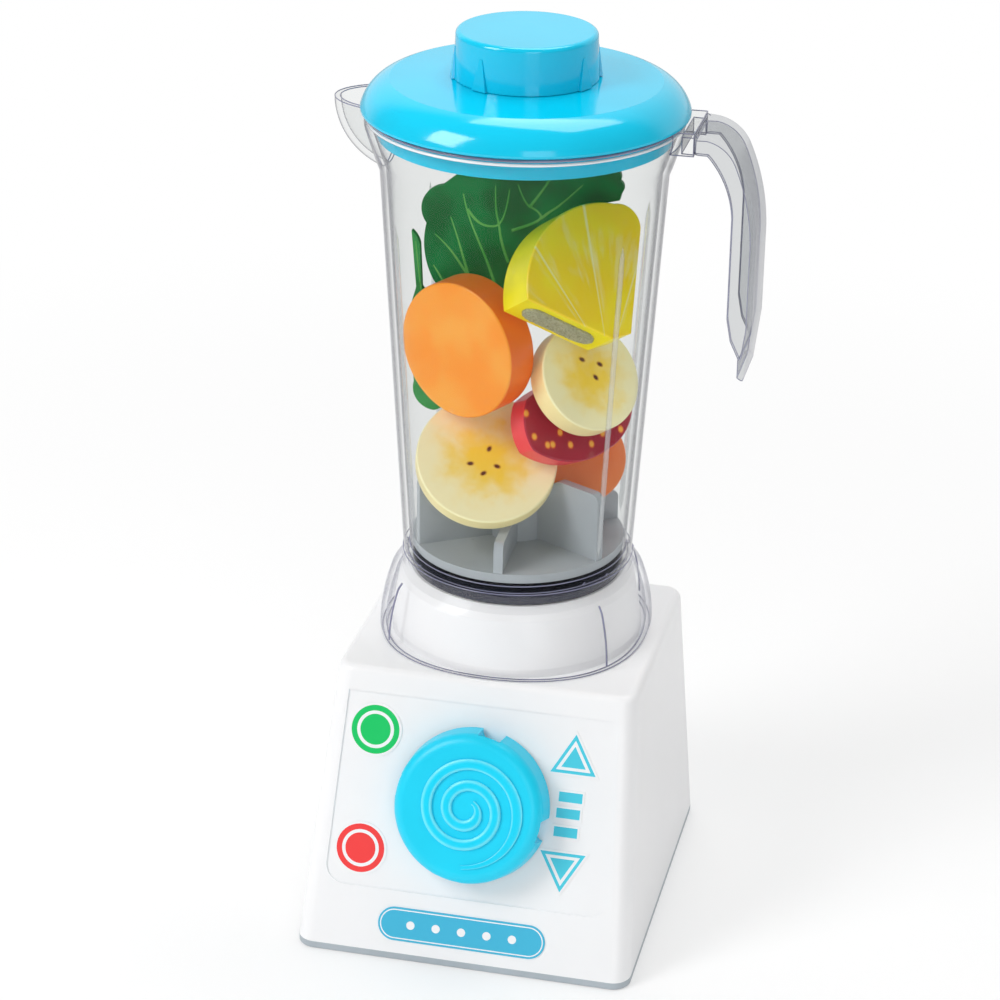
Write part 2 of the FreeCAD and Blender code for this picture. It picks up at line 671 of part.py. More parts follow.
def screw(name, length):
    """One cross-head screw: its head's outer side at height 0 and its stem above."""
    head = bind(document.addObject("Part::Cylinder", f"{name}_head"),
                Radius=size.screw_head, Height=size.screw_head_height)
    stem = bind(document.addObject("Part::Cylinder", f"{name}_stem"),
                Radius=size.screw_radius, Height=size.screw_head_height + length)
    blank = document.addObject("Part::Fuse", f"{name}_blank")
    blank.Base, blank.Tool = head, stem
    long_side, short_side = size.screw_head * 1.2, size.screw_slot
    slots = []
    for turn, (across, forward) in enumerate(((long_side, short_side), (short_side, long_side))):
        slot = bind(document.addObject("Part::Box", f"{name}_slot_{turn}"),
                    Length=across, Width=forward, Height=size.screw_head_height * 0.6)
        slots.append(set_down(slot, -across / 2, -forward / 2))
    cross = document.addObject("Part::MultiFuse", f"{name}_cross")
    cross.Shapes = slots
    finished = document.addObject("Part::Cut", name)
    finished.Base, finished.Tool = blank, cross
    return finished


def screw_group(label, places, height, length, head_up):
    """Identical screws that share one node."""
    screws = []
    for index, (across, forward) in enumerate(places):
        made = screw(f"{label}_{index}", length)
        made.Placement = Placement(Vector(), Rotation(Vector(1, 0, 0), 180 if head_up else 0))
        screws.append(set_down(made, across, forward, height))
    return grouped(label, screws)


def grouped(label, members):
    """Several solids that share one node."""
    group = document.addObject("Part::Compound", label)
    group.Label = label
    group.Links = members
    pieces.append(group)
    return group


def screws():
    frame_top = size.plate_height + size.post_height + size.frame_wall
    screw_group("cover_screws", boss_places(), size.screw_recess,
                size.cover_screw_length - size.screw_gap, head_up=False)
    screw_group("frame_screws", post_places(), frame_top + size.screw_head_height,
                size.frame_screw_length - size.screw_gap, head_up=True)


def gear_frame():
    """The bracket that carries the lower ends of both shafts."""
    made = new_body("gear_frame")
    floor = size.plate_height + size.post_height
    reach = size.post_side + size.frame_margin
    front, back = size.post_front + size.frame_margin, size.post_back + size.frame_margin
    extruded(made, "XY_Plane", [
        (-reach, -front), (reach, -front), (reach, back), (-reach, back),
    ], size.frame_wall, floor)
    rounded(made, size.frame_wall, lambda edge: spans(edge, floor + 1, floor + 2))
    pillar(made, size.frame_post, floor, size.frame_post_top)
    arm = block(made, "AdditiveBox", Length=2 * size.arm_half, Width=size.arm_foot + size.arm_top,
                Height=size.arm_far - size.arm_near)
    set_on_face(arm, -size.arm_half, -size.arm_foot, size.arm_near)
    document.recompute()
    bore = block(made, "SubtractiveCylinder", Radius=size.shaft_radius + size.running_gap,
                 Height=size.arm_far)
    set_on_face(bore, out=size.arm_near / 2)
    document.recompute()
    drilled(made, size.spindle_radius + size.running_gap, size.spindle_foot - size.disc_gap,
            size.frame_post_top + 1)
    for across, forward in post_places():
        drilled(made, size.screw_radius + size.screw_gap, floor - 1, floor + size.frame_wall + 1,
                across, forward)


def ring(label, inner, outer, low, high):
    """A plain ring about the body's Z axis."""
    made = new_body(label)
    turned(made, [(inner, low), (outer, low), (outer, high), (inner, high)])
    return made


def flanged_bush(label, bore, top, length, seat):
    """A bush whose flange bears on its wall's inner side, at the height called seat."""
    outer = bore + size.bush_wall
    flange = outer + size.bush_flange
    made = new_body(label)
    turned(made, [
        (bore, top - length),
        (outer, top - length),
        (outer, seat - size.bush_flange),
        (flange, seat - size.bush_flange),
        (flange, seat),
        (outer, seat),
        (outer, top),
        (bore, top),
    ])
    return made


def bushes():
    knob_seat = face_reach - size.shell_wall * lean_cosine - size.fixed_gap
    set_on_face(flanged_bush("knob_bush", size.shaft_radius + size.running_gap, panel_reach,
                             size.knob_bush_length, knob_seat))
    flanged_bush("spindle_bush", size.spindle_radius + size.running_gap, size.pedestal_height,
                 size.spindle_bush_length,
                 size.pedestal_height - size.shell_wall - size.fixed_gap)


def round_ended(half, rise):
    """Corners of a strip with round ends, of this half length and half width."""
    straight = half - rise
    return [
        (-straight, -rise), (straight, -rise, rise), (half, 0, rise), (straight, rise),
        (-straight, rise, rise), (-half, 0, rise),
    ]


def set_sticker(made, place, reach):
    """Sets a sticker on the front face."""
    return set_on_face(made, place[0], place[1], reach + size.sticker_gap)


def stickers():
    for label, place in (("sticker_start", START_PLACE), ("sticker_stop", STOP_PLACE)):
        made = new_body(label)
        pillar(made, size.dot_radius, 0, size.sticker_wall)
        set_sticker(made, place, panel_reach)
    for label, place, way in (("sticker_up", UP_PLACE, 1), ("sticker_down", DOWN_PLACE, -1)):
        made = new_body(label)
        base, tip = size.arrow_height * (-way / 3), size.arrow_height * (2 * way / 3)
        extruded(made, "XY_Plane", [(-size.arrow_half, base), (size.arrow_half, base), (0, tip)],
                 size.sticker_wall)
        set_sticker(made, place, panel_reach)
    bars = []
    for index, (across, up) in enumerate(BAR_PLACES):
        bar = bind(document.addObject("Part::Box", f"sticker_bar_{index}"),
                   Length=2 * size.bar_half, Width=2 * size.bar_rise, Height=size.sticker_wall)
        bars.append(set_sticker(bar, (across - size.bar_half, up - size.bar_rise), panel_reach))
    grouped("sticker_bars", bars)
    made = new_body("front_label")
    extruded(made, "XY_Plane", round_ended(size.label_half, size.label_rise), size.sticker_wall)
    set_sticker(made, LABEL_PLACE, face_reach)


# Knob and spindle, joined by a pair of bevel gears.


def knob():
    made = new_body("knob")
    foot, top = face_reach + size.knob_gap, face_reach + size.knob_height
    ceiling = top - size.knob_wall - size.knob_gap
    hollow = size.notch_reach - size.notch_radius - size.knob_wall
    turned(made, [
        (0, ceiling),
        (hollow, ceiling),
        (hollow, foot),
        (size.knob_radius, foot),
        (size.knob_waist, top - size.knob_edge, size.knob_edge * 1.05),
        (size.knob_face, top),
        (0, top),
    ])
    pillar(made, size.knob_hub, foot, ceiling + 1)
    for quarter in range(4):
        angle = 90 * quarter - size.notch_turn
        drilled(made, size.notch_radius, face_reach, face_reach + size.notch_top,
                size.notch_reach * cosine(angle), size.notch_reach * sine(angle))
    drilled(made, size.shaft_radius + size.fixed_gap, face_reach,
            face_reach + size.shaft_grip + size.fixed_gap)
    set_on_face(made)


def knob_shaft():
    made = new_body("knob_shaft")
    pillar(made, size.shaft_radius, size.shaft_near, face_reach + size.shaft_grip)
    set_on_face(made)


def clip(label, shaft, top):
    """A retaining ring on a shaft, its upper side at one height."""
    inner = shaft + size.fixed_gap
    return ring(label, inner, inner + size.clip_width, top - size.clip_height, top)


def clips():
    set_on_face(clip("knob_clip", size.shaft_radius,
                     panel_reach - size.knob_bush_length - size.clip_gap))
    clip("spindle_clip", size.spindle_radius,
         size.pedestal_height - size.spindle_bush_length - size.clip_gap)
    clip("impeller_clip", size.axle_radius, size.jar_floor - size.clip_gap)


def cone_angles():
    """Pitch cone angles of the knob's gear and of the pinion, in radians."""
    between = math.radians(90 - size.face_lean.value)
    ratio = float(size.gear_teeth / size.pinion_teeth)
    pinion = math.atan2(math.sin(between), ratio + math.cos(between))
    return between - pinion, pinion


def toothed_wire(teeth, cone, tip_half, root_half, first_tooth, distance):
    """The toothed outline at one distance from the place where the axes cross."""
    tip_cone = cone + math.radians(size.tooth_rise.value)
    root_cone = cone - math.radians(size.tooth_drop.value)
    profile = ((root_cone, -root_half), (tip_cone, -tip_half), (tip_cone, tip_half),
               (root_cone, root_half))
    corners = []
    for tooth in range(teeth):
        middle = first_tooth + 2 * math.pi * tooth / teeth
        for slope, swing in profile:
            radius, angle = distance * math.tan(slope), middle + math.radians(float(swing))
            corners.append(Vector(radius * math.cos(angle), radius * math.sin(angle), distance))
    return Part.makePolygon(corners + corners[:1])


def bevel_gear(label, teeth, cone, halves, first_tooth, bore, steps):
    """A toothed cone whose flanks point at the place where the axes cross.

    Its back is turned from steps of (radius, length), and its bore goes right through.
    """
    cone_distance = float(size.gear_module * size.gear_teeth / 2) / math.sin(cone_angles()[0])
    level = cone_distance * math.cos(cone)
    near = (cone_distance - size.gear_face.value) * math.cos(cone)
    wires = [toothed_wire(teeth, cone, *halves, first_tooth, spot) for spot in (near, level)]
    solid = Part.makeLoft(wires, True, True)
    for radius, length in steps:
        solid = solid.fuse(Part.makeCylinder(float(radius), float(length), Vector(0, 0, level)))
        level += float(length)
    solid = solid.cut(Part.makeCylinder(float(bore), level + 1)).removeSplitter()
    gear = document.addObject("Part::Feature", label)
    gear.Label = label
    gear.Shape = solid
    pieces.append(gear)
    return gear


def bevel_pair():
    gear_cone, pinion_cone = cone_angles()
    pinion_teeth = int(size.pinion_teeth.value)
    set_on_face(bevel_gear(
        "drive_gear", int(size.gear_teeth.value), gear_cone,
        (size.gear_tooth_tip, size.gear_tooth_root), math.pi / 2,
        size.shaft_radius + size.fixed_gap,
        [(size.gear_web_radius, size.gear_web), (size.gear_hub, size.gear_hub_length)],
    ))
    set_down(bevel_gear(
        "pinion_gear", pinion_teeth, pinion_cone,
        (size.pinion_tooth_tip, size.pinion_tooth_root),
        -math.pi / 2 + math.pi / pinion_teeth, size.spindle_radius + size.fixed_gap,
        [(size.pinion_hub, size.pinion_hub_length)],
    ), height=size.apex_height)


def spindle():
    pillar(new_body("spindle"), size.spindle_radius, size.spindle_foot, size.spindle_top)


def hexagon(radius):
    """Corners of a hexagon with this distance from its middle to a corner."""
    return [(radius * cosine(60 * side), radius * sine(60 * side)) for side in range(6)]


def drive_disc():
    made = new_body("drive_disc")
    foot = size.pedestal_height + size.disc_gap
    top = foot + size.disc_height
    pillar(made, size.disc_radius, foot, top)
    rounded(made, size.food_edge, lambda edge: circles_at(edge, size.disc_radius, top))
    extruded(made, "XY_Plane", hexagon(size.dog_radius), size.dog_height + 1, top - 1)
    drilled(made, size.spindle_radius + size.fixed_gap, foot - 1,
            size.spindle_top + size.fixed_gap)


# Jar: a clear cup on a clear bell, with a spout and a hollow handle.


def bowl(made, kind, inset):
    """The ellipsoid of the spout, inset from its outside."""
    feature = block(
        made, kind, Radius1=size.spout_depth - inset, Radius2=size.spout_reach - inset,
        Radius3=size.spout_half - inset,
    )
    set_down(feature, -size.spout_root, 0, size.jar_top)
    document.recompute()


def jar_body():
    made = new_body("jar_body")
    wall = size.jar_wall
    inside_step = wall / 4
    turned(made, [
        (0, size.jar_floor),
        (size.jar_foot, size.jar_floor),
        (size.jar_neck, size.jar_neck_height),
        (size.jar_step, size.jar_step_height),
        (size.jar_flare, size.jar_flare_height),
        (size.jar_rim, size.jar_rim_foot),
        (size.jar_rim, size.jar_top),
        (0, size.jar_top),
    ])
    rounded(made, size.jar_foot_round,
            lambda edge: circles_at(edge, size.jar_foot, size.jar_floor))
    bowl(made, "AdditiveEllipsoid", 0)
    boss = block(made, "AdditiveBox", Length=size.handle_root - size.handle_boss_root,
                 Width=2 * size.handle_half, Height=size.jar_top - size.handle_boss_foot)
    set_down(boss, size.handle_boss_root, -size.handle_half, size.handle_boss_foot)
    document.recompute()
    drilled(made, 2 * size.jar_rim, size.jar_top, size.jar_top + 2 * size.spout_depth)
    turned(made, [
        (0, size.jar_floor + wall),
        (size.jar_foot - wall, size.jar_floor + wall),
        (size.jar_neck - wall, size.jar_neck_height + inside_step),
        (size.jar_step - wall, size.jar_step_height + inside_step),
        (size.jar_flare - wall, size.jar_flare_height + inside_step),
        (size.jar_rim - wall, size.jar_rim_foot + inside_step),
        (size.jar_rim - wall, size.jar_top + 1),
        (0, size.jar_top + 1),
    ], "Groove")
    bowl(made, "SubtractiveEllipsoid", wall)
    drilled(made, size.bearing_radius + size.fixed_gap, size.jar_floor - 1,
            size.jar_floor + wall + 1)
    pocket_root = size.jar_rim + size.handle_wall / 2
    pocket = block(
        made, "SubtractiveBox", Length=size.handle_root - pocket_root + 1,
        Width=2 * (size.handle_half - size.handle_wall),
        Height=size.jar_top - size.handle_wall - size.handle_boss_foot + 1,
    )
    set_down(pocket, pocket_root, size.handle_wall - size.handle_half, size.handle_boss_foot - 1)
    document.recompute()


def jar_collar():
    made = new_body("jar_collar")
    foot = size.base_height + size.collar_gap
    neck_foot = size.jar_floor - size.collar_drop
    wall, bend = size.collar_wall, size.collar_side_bend
    turned(made, [
        (size.collar_neck - wall, size.jar_floor),
        (size.collar_neck - wall, neck_foot - wall / 2),
        (size.collar_shoulder - wall, size.collar_shoulder_height - wall / 2, wall - bend),
        (size.collar_belly - wall, size.collar_belly_height),
        (size.collar_foot - wall, foot),
        (size.collar_foot, foot),
        (size.collar_belly, size.collar_belly_height, bend),
        (size.collar_shoulder, size.collar_shoulder_height),
        (size.collar_neck, neck_foot),
        (size.collar_neck, size.jar_floor),
    ])


def jar_handle():
    """A hollow hooked handle, open towards the jar."""
    made = new_body("jar_handle")
    root = size.handle_root + size.handle_gap
    innermost = max(corner[0] for corner in HANDLE_INSIDE)
    extruded(made, "XZ_Plane", [
        (root, size.handle_brow), *HANDLE_OUTSIDE, *HANDLE_INSIDE, (root, size.handle_chin),
    ], 2 * size.handle_half, both_ways=True)

    def runs_along_back(edge):
        box = edge.BoundBox
        beside = box.YLength < 0.01 and abs(abs(box.YMin) - float(size.handle_half)) < 0.01
        middle = edge.valueAt((edge.FirstParameter + edge.LastParameter) / 2)
        return beside and (middle.x > innermost + 2 or middle.z > float(size.handle_chin) + 2)

    rounded(made, size.handle_edge, runs_along_back)
    extruded(made, "XZ_Plane", HANDLE_CHANNEL, 2 * (size.handle_half - size.handle_wall),
             kind="Pocket", both_ways=True)


def impeller_bush():
    ring("impeller_bush", size.axle_radius + size.axle_gap, size.bearing_radius,
         size.jar_floor, size.jar_floor + size.jar_wall)


# Impeller: a disc with three tall and three low vanes on a socketed hub shaft.


def impeller():
    made = new_body("impeller")
    bore, tip = size.axle_radius + size.fixed_gap, size.vane_tip
    axle_end = size.axle_top + size.fixed_gap
    floor = size.impeller_foot + size.impeller_disc
    foot = floor - size.impeller_disc / 2
    turned(made, [
        (0, axle_end),
        (bore, axle_end),
        (bore, size.impeller_foot),
        (size.impeller_radius, size.impeller_foot),
        (size.impeller_radius, floor),
        (size.impeller_hub, floor),
        (size.impeller_hub, size.impeller_hub_top - size.hub_round, size.hub_round),
        (size.impeller_hub - size.hub_round, size.impeller_hub_top),
        (0, size.impeller_hub_top),
    ])
    tall = extruded(made, "XZ_Plane", [
        (size.vane_root, foot),
        (tip, foot),
        (tip, size.tall_vane_top - size.vane_round, size.vane_round),
        (tip - size.vane_round, size.tall_vane_top),
        (size.tall_vane_root, size.tall_vane_top, size.tall_vane_bend),
        (size.vane_root, size.impeller_hub_top - size.hub_round),
    ], size.vane_wall, both_ways=True)
    repeated(made, tall, 3)
    low = extruded(made, "XZ_Plane", [
        (-size.vane_root, size.low_vane_top),
        (size.vane_round - tip, size.low_vane_top, size.vane_round),
        (-tip, size.low_vane_top - size.vane_round),
        (-tip, foot),
        (-size.vane_root, foot),
    ], size.vane_wall, both_ways=True)
    repeated(made, low, 3)
    made.Placement = Placement(Vector(), Rotation(Vector(0, 0, 1), size.vane_turn.value))


def impeller_shaft():
    made = new_body("impeller_shaft")
    pillar(made, size.axle_radius, size.axle_foot, size.axle_top)
    extruded(made, "XY_Plane", hexagon(size.dog_radius + size.socket_gap),
             size.socket_top - size.axle_foot + 1, size.axle_foot - 1, kind="Pocket")


# Loose play food, stirred round by the impeller.


def set_slice(made, place):
    """Stands a slice up: its face is its own XY plane, and the rest lies behind it."""
    x, y, z, azimuth, rise = place
    turn, tilt = math.radians(azimuth), math.radians(rise)
    out = Vector(math.cos(turn) * math.cos(tilt), math.sin(turn) * math.cos(tilt), math.sin(tilt))
    across = Vector(-math.sin(turn), math.cos(turn), 0)
    made.Placement = Placement(Vector(x, y, z), Rotation(across, out.cross(across), out, "ZXY"))


def round_slice(label, radius, wall, place):
    made = new_body(label)
    pillar(made, radius, -wall, 0)
    rounded(made, size.food_edge, lambda edge: isinstance(edge.Curve, Part.Circle))
    set_slice(made, place)


def round_slices():
    round_slice("orange_slice", size.orange_radius, size.orange_wall, ORANGE_PLACE)
    round_slice("banana_slice_lower", size.banana_radius, size.banana_wall, BANANA_PLACE)
    round_slice("banana_slice_upper", size.small_banana_radius, size.small_banana_wall,
                SMALL_BANANA_PLACE)
    round_slice("peach_slice", size.peach_radius, size.peach_wall, PEACH_PLACE)


def pineapple():
    """A wedge with a hook-and-loop patch on its lower cut."""
    wedge = new_body("pineapple_wedge")
    extruded(wedge, "XY_Plane", WEDGE_OUTLINE, size.wedge_wall, -size.wedge_wall)
    rounded(wedge, size.food_edge, lambda edge: lies_at(edge, 0))
    set_slice(wedge, WEDGE_PLACE)
    patch = new_body("pineapple_patch")
    extruded(patch, "XY_Plane", round_ended(size.patch_half, size.patch_rise), size.patch_wall,
             size.sticker_gap)
    tip = Vector(*WEDGE_OUTLINE[-1], 0)
    down_cut = Vector(tip).normalize()
    on_cut = Placement(
        (tip - Vector(0, 0, float(size.wedge_wall))) * 0.5,
        Rotation(down_cut, Vector(0, 0, -1), Vector(0, 0, 1).cross(down_cut), "ZXY"),
    )
    patch.Placement = wedge.Placement.multiply(on_cut)


def strawberry():
    made = new_body("strawberry_slice")
    extruded(made, "XY_Plane", BERRY_OUTLINE, size.berry_wall, -size.berry_wall)
    rounded(made, size.food_edge, lambda edge: lies_at(edge, 0))
    set_slice(made, BERRY_PLACE)


def leaves():
    for label, outline, depth in (("kale_leaf", KALE_OUTLINE, size.kale_depth),
                                  ("spinach_leaf", SPINACH_OUTLINE, size.spinach_depth)):
        made = new_body(label)
        extruded(made, "XZ_Plane", outline, size.leaf_wall, -depth)


# Lid and its cap.


def lid():
    made = new_body("lid")
    plug, wall = size.plug_radius, size.plug_wall
    under = size.lid_shoulder_height - size.lid_wall
    turned(made, [
        (size.cap_hole, size.lid_top - size.lid_wall),
        (size.lid_shoulder - wall, under),
        (plug - wall, under - wall),
        (plug - wall, size.plug_foot),
        (plug, size.plug_foot),
        (plug, size.lid_foot),
        (size.lid_radius, size.lid_foot),
        (size.lid_radius, size.lid_foot + size.lid_edge, size.lid_bend),
        (size.lid_shoulder, size.lid_shoulder_height),
        (size.cap_hole, size.lid_top),
    ])


def lid_cap():
    made = new_body("lid_cap")
    foot = size.lid_top + size.cap_gap
    bore, wall = size.cap_spigot - size.cap_wall, size.cap_wall
    turned(made, [
        (0, size.cap_top - wall),
        (size.cap_brow - wall, size.cap_top - wall),
        (size.cap_radius - wall, foot + wall),
        (bore, foot + wall),
        (bore, size.spigot_foot),
        (size.cap_spigot, size.spigot_foot),
        (size.cap_spigot, foot),
        (size.cap_radius, foot),
        (size.cap_brow, size.cap_top),
        (0, size.cap_top),
    ])
    rounded(made, size.cap_round, lambda edge: circles_at(edge, size.cap_brow, size.cap_top))
    root = size.cap_brow - size.cap_wall / 2
    for side in (0, 180):
        for step in (-1, 0, 1):
            ridge = block(
                made, "AdditiveWedge", Ymin=0, Ymax=size.grip_height,
                Xmin=-size.grip_half, Xmax=size.grip_half,
                X2min=-size.grip_peak, X2max=size.grip_peak,
                Zmin=root, Zmax=size.cap_radius + size.grip_rise, Z2min=root,
                Z2max=size.cap_brow + size.grip_rise / 2,
            )
            turn = side + size.grip_turn.value + step * size.grip_step.value
            upright = Rotation(Vector(1, 0, 0), 90)
            ridge.Placement = Placement(Vector(), Rotation(Vector(0, 0, 1), turn + 90) * upright)
            set_down(ridge, height=foot)
            document.recompute()


BUILDERS = (
    base_shell, bottom_cover, screws, gear_frame, bushes, stickers, knob, knob_shaft, clips,
    bevel_pair, spindle, drive_disc, jar_body, jar_collar, jar_handle, impeller_bush, impeller,
    impeller_shaft, round_slices, pineapple, strawberry, leaves, lid, lid_cap,
)
for build_piece in BUILDERS:
    build_piece()
document.recompute()

for item in document.Objects:
    if "Invalid" in item.State or "Error" in item.State:
        raise ValueError(f"{item.Label} did not recompute")
for piece in pieces:
    if piece.Shape.isNull() or not piece.Shape.isValid():
        raise ValueError(f"{piece.Label} has no valid shape")

os.makedirs("parts", exist_ok=True)
for piece in pieces:
    piece.Shape.exportStep(f"parts/{piece.Label}.step")
    print(f"{piece.Label}: {piece.Shape.Volume:.0f} cubic millimetres")
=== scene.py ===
"""Toy blender, dressed: moulded plastics, stickers, painted play food and a plain pale studio."""

import json
import math

import bmesh
import bpy
from mathutils import Matrix, Vector


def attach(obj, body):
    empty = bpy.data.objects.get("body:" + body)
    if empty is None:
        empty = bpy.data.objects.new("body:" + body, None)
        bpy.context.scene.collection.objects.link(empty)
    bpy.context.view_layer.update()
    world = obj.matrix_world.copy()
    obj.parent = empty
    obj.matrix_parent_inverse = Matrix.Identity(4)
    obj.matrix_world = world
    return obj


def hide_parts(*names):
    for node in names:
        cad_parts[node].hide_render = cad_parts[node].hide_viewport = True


MM = 0.001
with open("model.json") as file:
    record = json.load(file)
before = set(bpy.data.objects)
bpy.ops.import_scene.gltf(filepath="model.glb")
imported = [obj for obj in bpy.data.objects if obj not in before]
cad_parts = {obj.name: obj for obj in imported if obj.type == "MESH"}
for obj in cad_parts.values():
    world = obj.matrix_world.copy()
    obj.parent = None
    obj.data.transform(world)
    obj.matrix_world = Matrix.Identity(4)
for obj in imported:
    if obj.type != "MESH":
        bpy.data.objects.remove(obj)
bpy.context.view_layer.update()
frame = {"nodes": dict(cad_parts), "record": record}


# Sizes that the finishes and the extra pieces refer to: in millimetres, or in metres where
# MM stands in them.
FACE_LEAN = math.radians(19.94)
APEX = Vector((0, 0, 32.57))
KNOB_FACE = 81.02
UP_FACE = Vector((0, math.sin(FACE_LEAN), math.cos(FACE_LEAN)))
OUT_OF_FACE = Vector((0, -math.cos(FACE_LEAN), math.sin(FACE_LEAN)))
SLICES = {
    "orange_slice": (-19.3, -17.5, 206.9, -115.6, 0),
    "banana_slice_lower": (-8.3, -15.2, 166.7, -70, 50),
    "banana_slice_upper": (26.8, -8.6, 198.9, -42, 34),
    "peach_slice": (21.0, 7.6, 160.6, -66, 26),
    "pineapple_wedge": (36.0, -20.2, 218.0, -44, 32),
    "strawberry_slice": (21.7, -6.5, 178.5, -42, 28),
}
DOTS = {"sticker_start": (-37.7, 22.0), "sticker_stop": (-39.4, -20.8)}
ARROWS = {"sticker_up": (34.1, 19.7, 1), "sticker_down": (33.2, -17.7, -1)}
BARS = ((34.1, 6.7), (33.7, 0.9), (33.4, -5.7))
LABEL = (-0.3, -46.0)
DOT_DISC, DOT_RING = 5.5, (6.7, 8.7)
ARROW_HEIGHT, ARROW_HALF_BASE = 16.3, 9.4
BAR_HALF_LENGTH, BAR_HALF_WIDTH = 4.2, 1.75
LABEL_HALF_STRAIGHT, LABEL_LINE = 24.2, (4.9, 5.3)
LABEL_DOT, LABEL_HALF_PITCH, LABEL_DOTS_END = 1.5, 4.6, 23.0
PICTURE_DEPTH = 0.45
COLLAR_FOOT = 97.1 * MM
COLLAR_TOP = 127.4 * MM
COLLAR_SWELL = 2.2 * MM
# The swell follows a sine from the collar's top down, through this share of half a turn.
SWELL_SHARE = 0.62
# A crease: where it starts, how long it is, and how it flares past the collar's shoulder.
CREASE_TURNS = (-38, -142, 38, 142)
CREASE_TOP, CREASE_LENGTH = 120.5, 21.5
SHOULDER_HEIGHT, SHOULDER_RADIUS, SHOULDER_DROP = 118.3, 45.3, 18.9
NECK_FLARE, BELL_FLARE, BELL_BOW = 13.4, 3.5, 3.0
CREASE_LIFT = COLLAR_SWELL * 0.75 - 0.2 * MM
# Round the jar's rim, under the lid: a dark bead painted as shade and, below it, a white bead
# painted as a highlight.
RIM_RADIUS, RIM_SHADE_HEIGHT, RIM_GLINT_HEIGHT = 54.0, 289.1, 287.7
WALL_SLOPE = 0.0591
RIB_SPREAD = math.radians(63.0)
BEAD_INSET = 0.25 * MM
SKIN_ANGLE = 25
# Seeds, each across and up its slice's face, then the way that it points.
LOWER_SEEDS = ((1.1, 3.6, 60), (-6.0, -1.8, 0), (3.3, -3.3, -25), (-1.7, -5.8, 30))
UPPER_SEEDS = ((-1.5, 6.4, -35), (4.9, 3.3, -40), (1.6, -0.8, -60))
BERRY_SEEDS = (
    (-18.8, 8.9, 80), (-18.0, 0.4, 85), (-13.6, -3.6, 90), (-11.5, -3.9, 90), (-4.4, -5.6, 90),
    (4.2, -7.2, 85), (-7.3, -0.5, 80), (9.8, -4.6, 85), (17.7, -4.9, 80), (-9.5, 7.5, 75),
    (0.5, 3.5, 80), (10.5, 7.0, 80), (18.0, 3.5, 80), (2.0, 11.5, 80),
)


def paint(red, green, blue):
    """A colour as it looks on a screen, 0 to 255, as the light that a shader works in."""
    def linear(level):
        level /= 255
        return level / 12.92 if level <= 0.04045 else ((level + 0.055) / 1.055) ** 2.4
    return (linear(red), linear(green), linear(blue), 1.0)


CYAN = paint(0, 202, 238)
STICKER_BLUE = paint(74, 208, 230)
WHITE = paint(247, 247, 248)
BARE_WOOD = paint(250, 238, 205)


# Node trees, written as sums.


class Value:
    """One output of a node, which takes part in sums as a number does."""

    def __init__(self, graph, socket):
        self.graph = graph
        self.socket = socket

    def sum_with(self, operation, first, second=None):
        inputs = {0: first} if second is None else {0: first, 1: second}
        return self.graph.node("ShaderNodeMath", {"operation": operation}, inputs)

    def __add__(self, other):
        return self.sum_with("ADD", self, other)

    def __radd__(self, other):
        return self.sum_with("ADD", other, self)

    def __sub__(self, other):
        return self.sum_with("SUBTRACT", self, other)

    def __rsub__(self, other):
        return self.sum_with("SUBTRACT", other, self)

    def __mul__(self, other):
        return self.sum_with("MULTIPLY", self, other)

    def __rmul__(self, other):
        return self.sum_with("MULTIPLY", other, self)

    def __truediv__(self, other):
        return self.sum_with("DIVIDE", self, other)

    def __pow__(self, other):
        return self.sum_with("POWER", self, other)

    def __lt__(self, other):
        return self.sum_with("LESS_THAN", self, other)

    def __gt__(self, other):
        return self.sum_with("GREATER_THAN", self, other)

    def __abs__(self):
        return self.sum_with("ABSOLUTE", self)

    def least(self, other):
        return self.sum_with("MINIMUM", self, other)

    def most(self, other):
        return self.sum_with("MAXIMUM", self, other)

    def ramp(self, low, high, first=0.0, last=1.0):
        """Smoothly from first to last as this value goes from low to high."""
        return self.graph.node(
            "ShaderNodeMapRange", {"interpolation_type": "SMOOTHSTEP"},
            {0: self, 1: low, 2: high, 3: first, 4: last},
        )


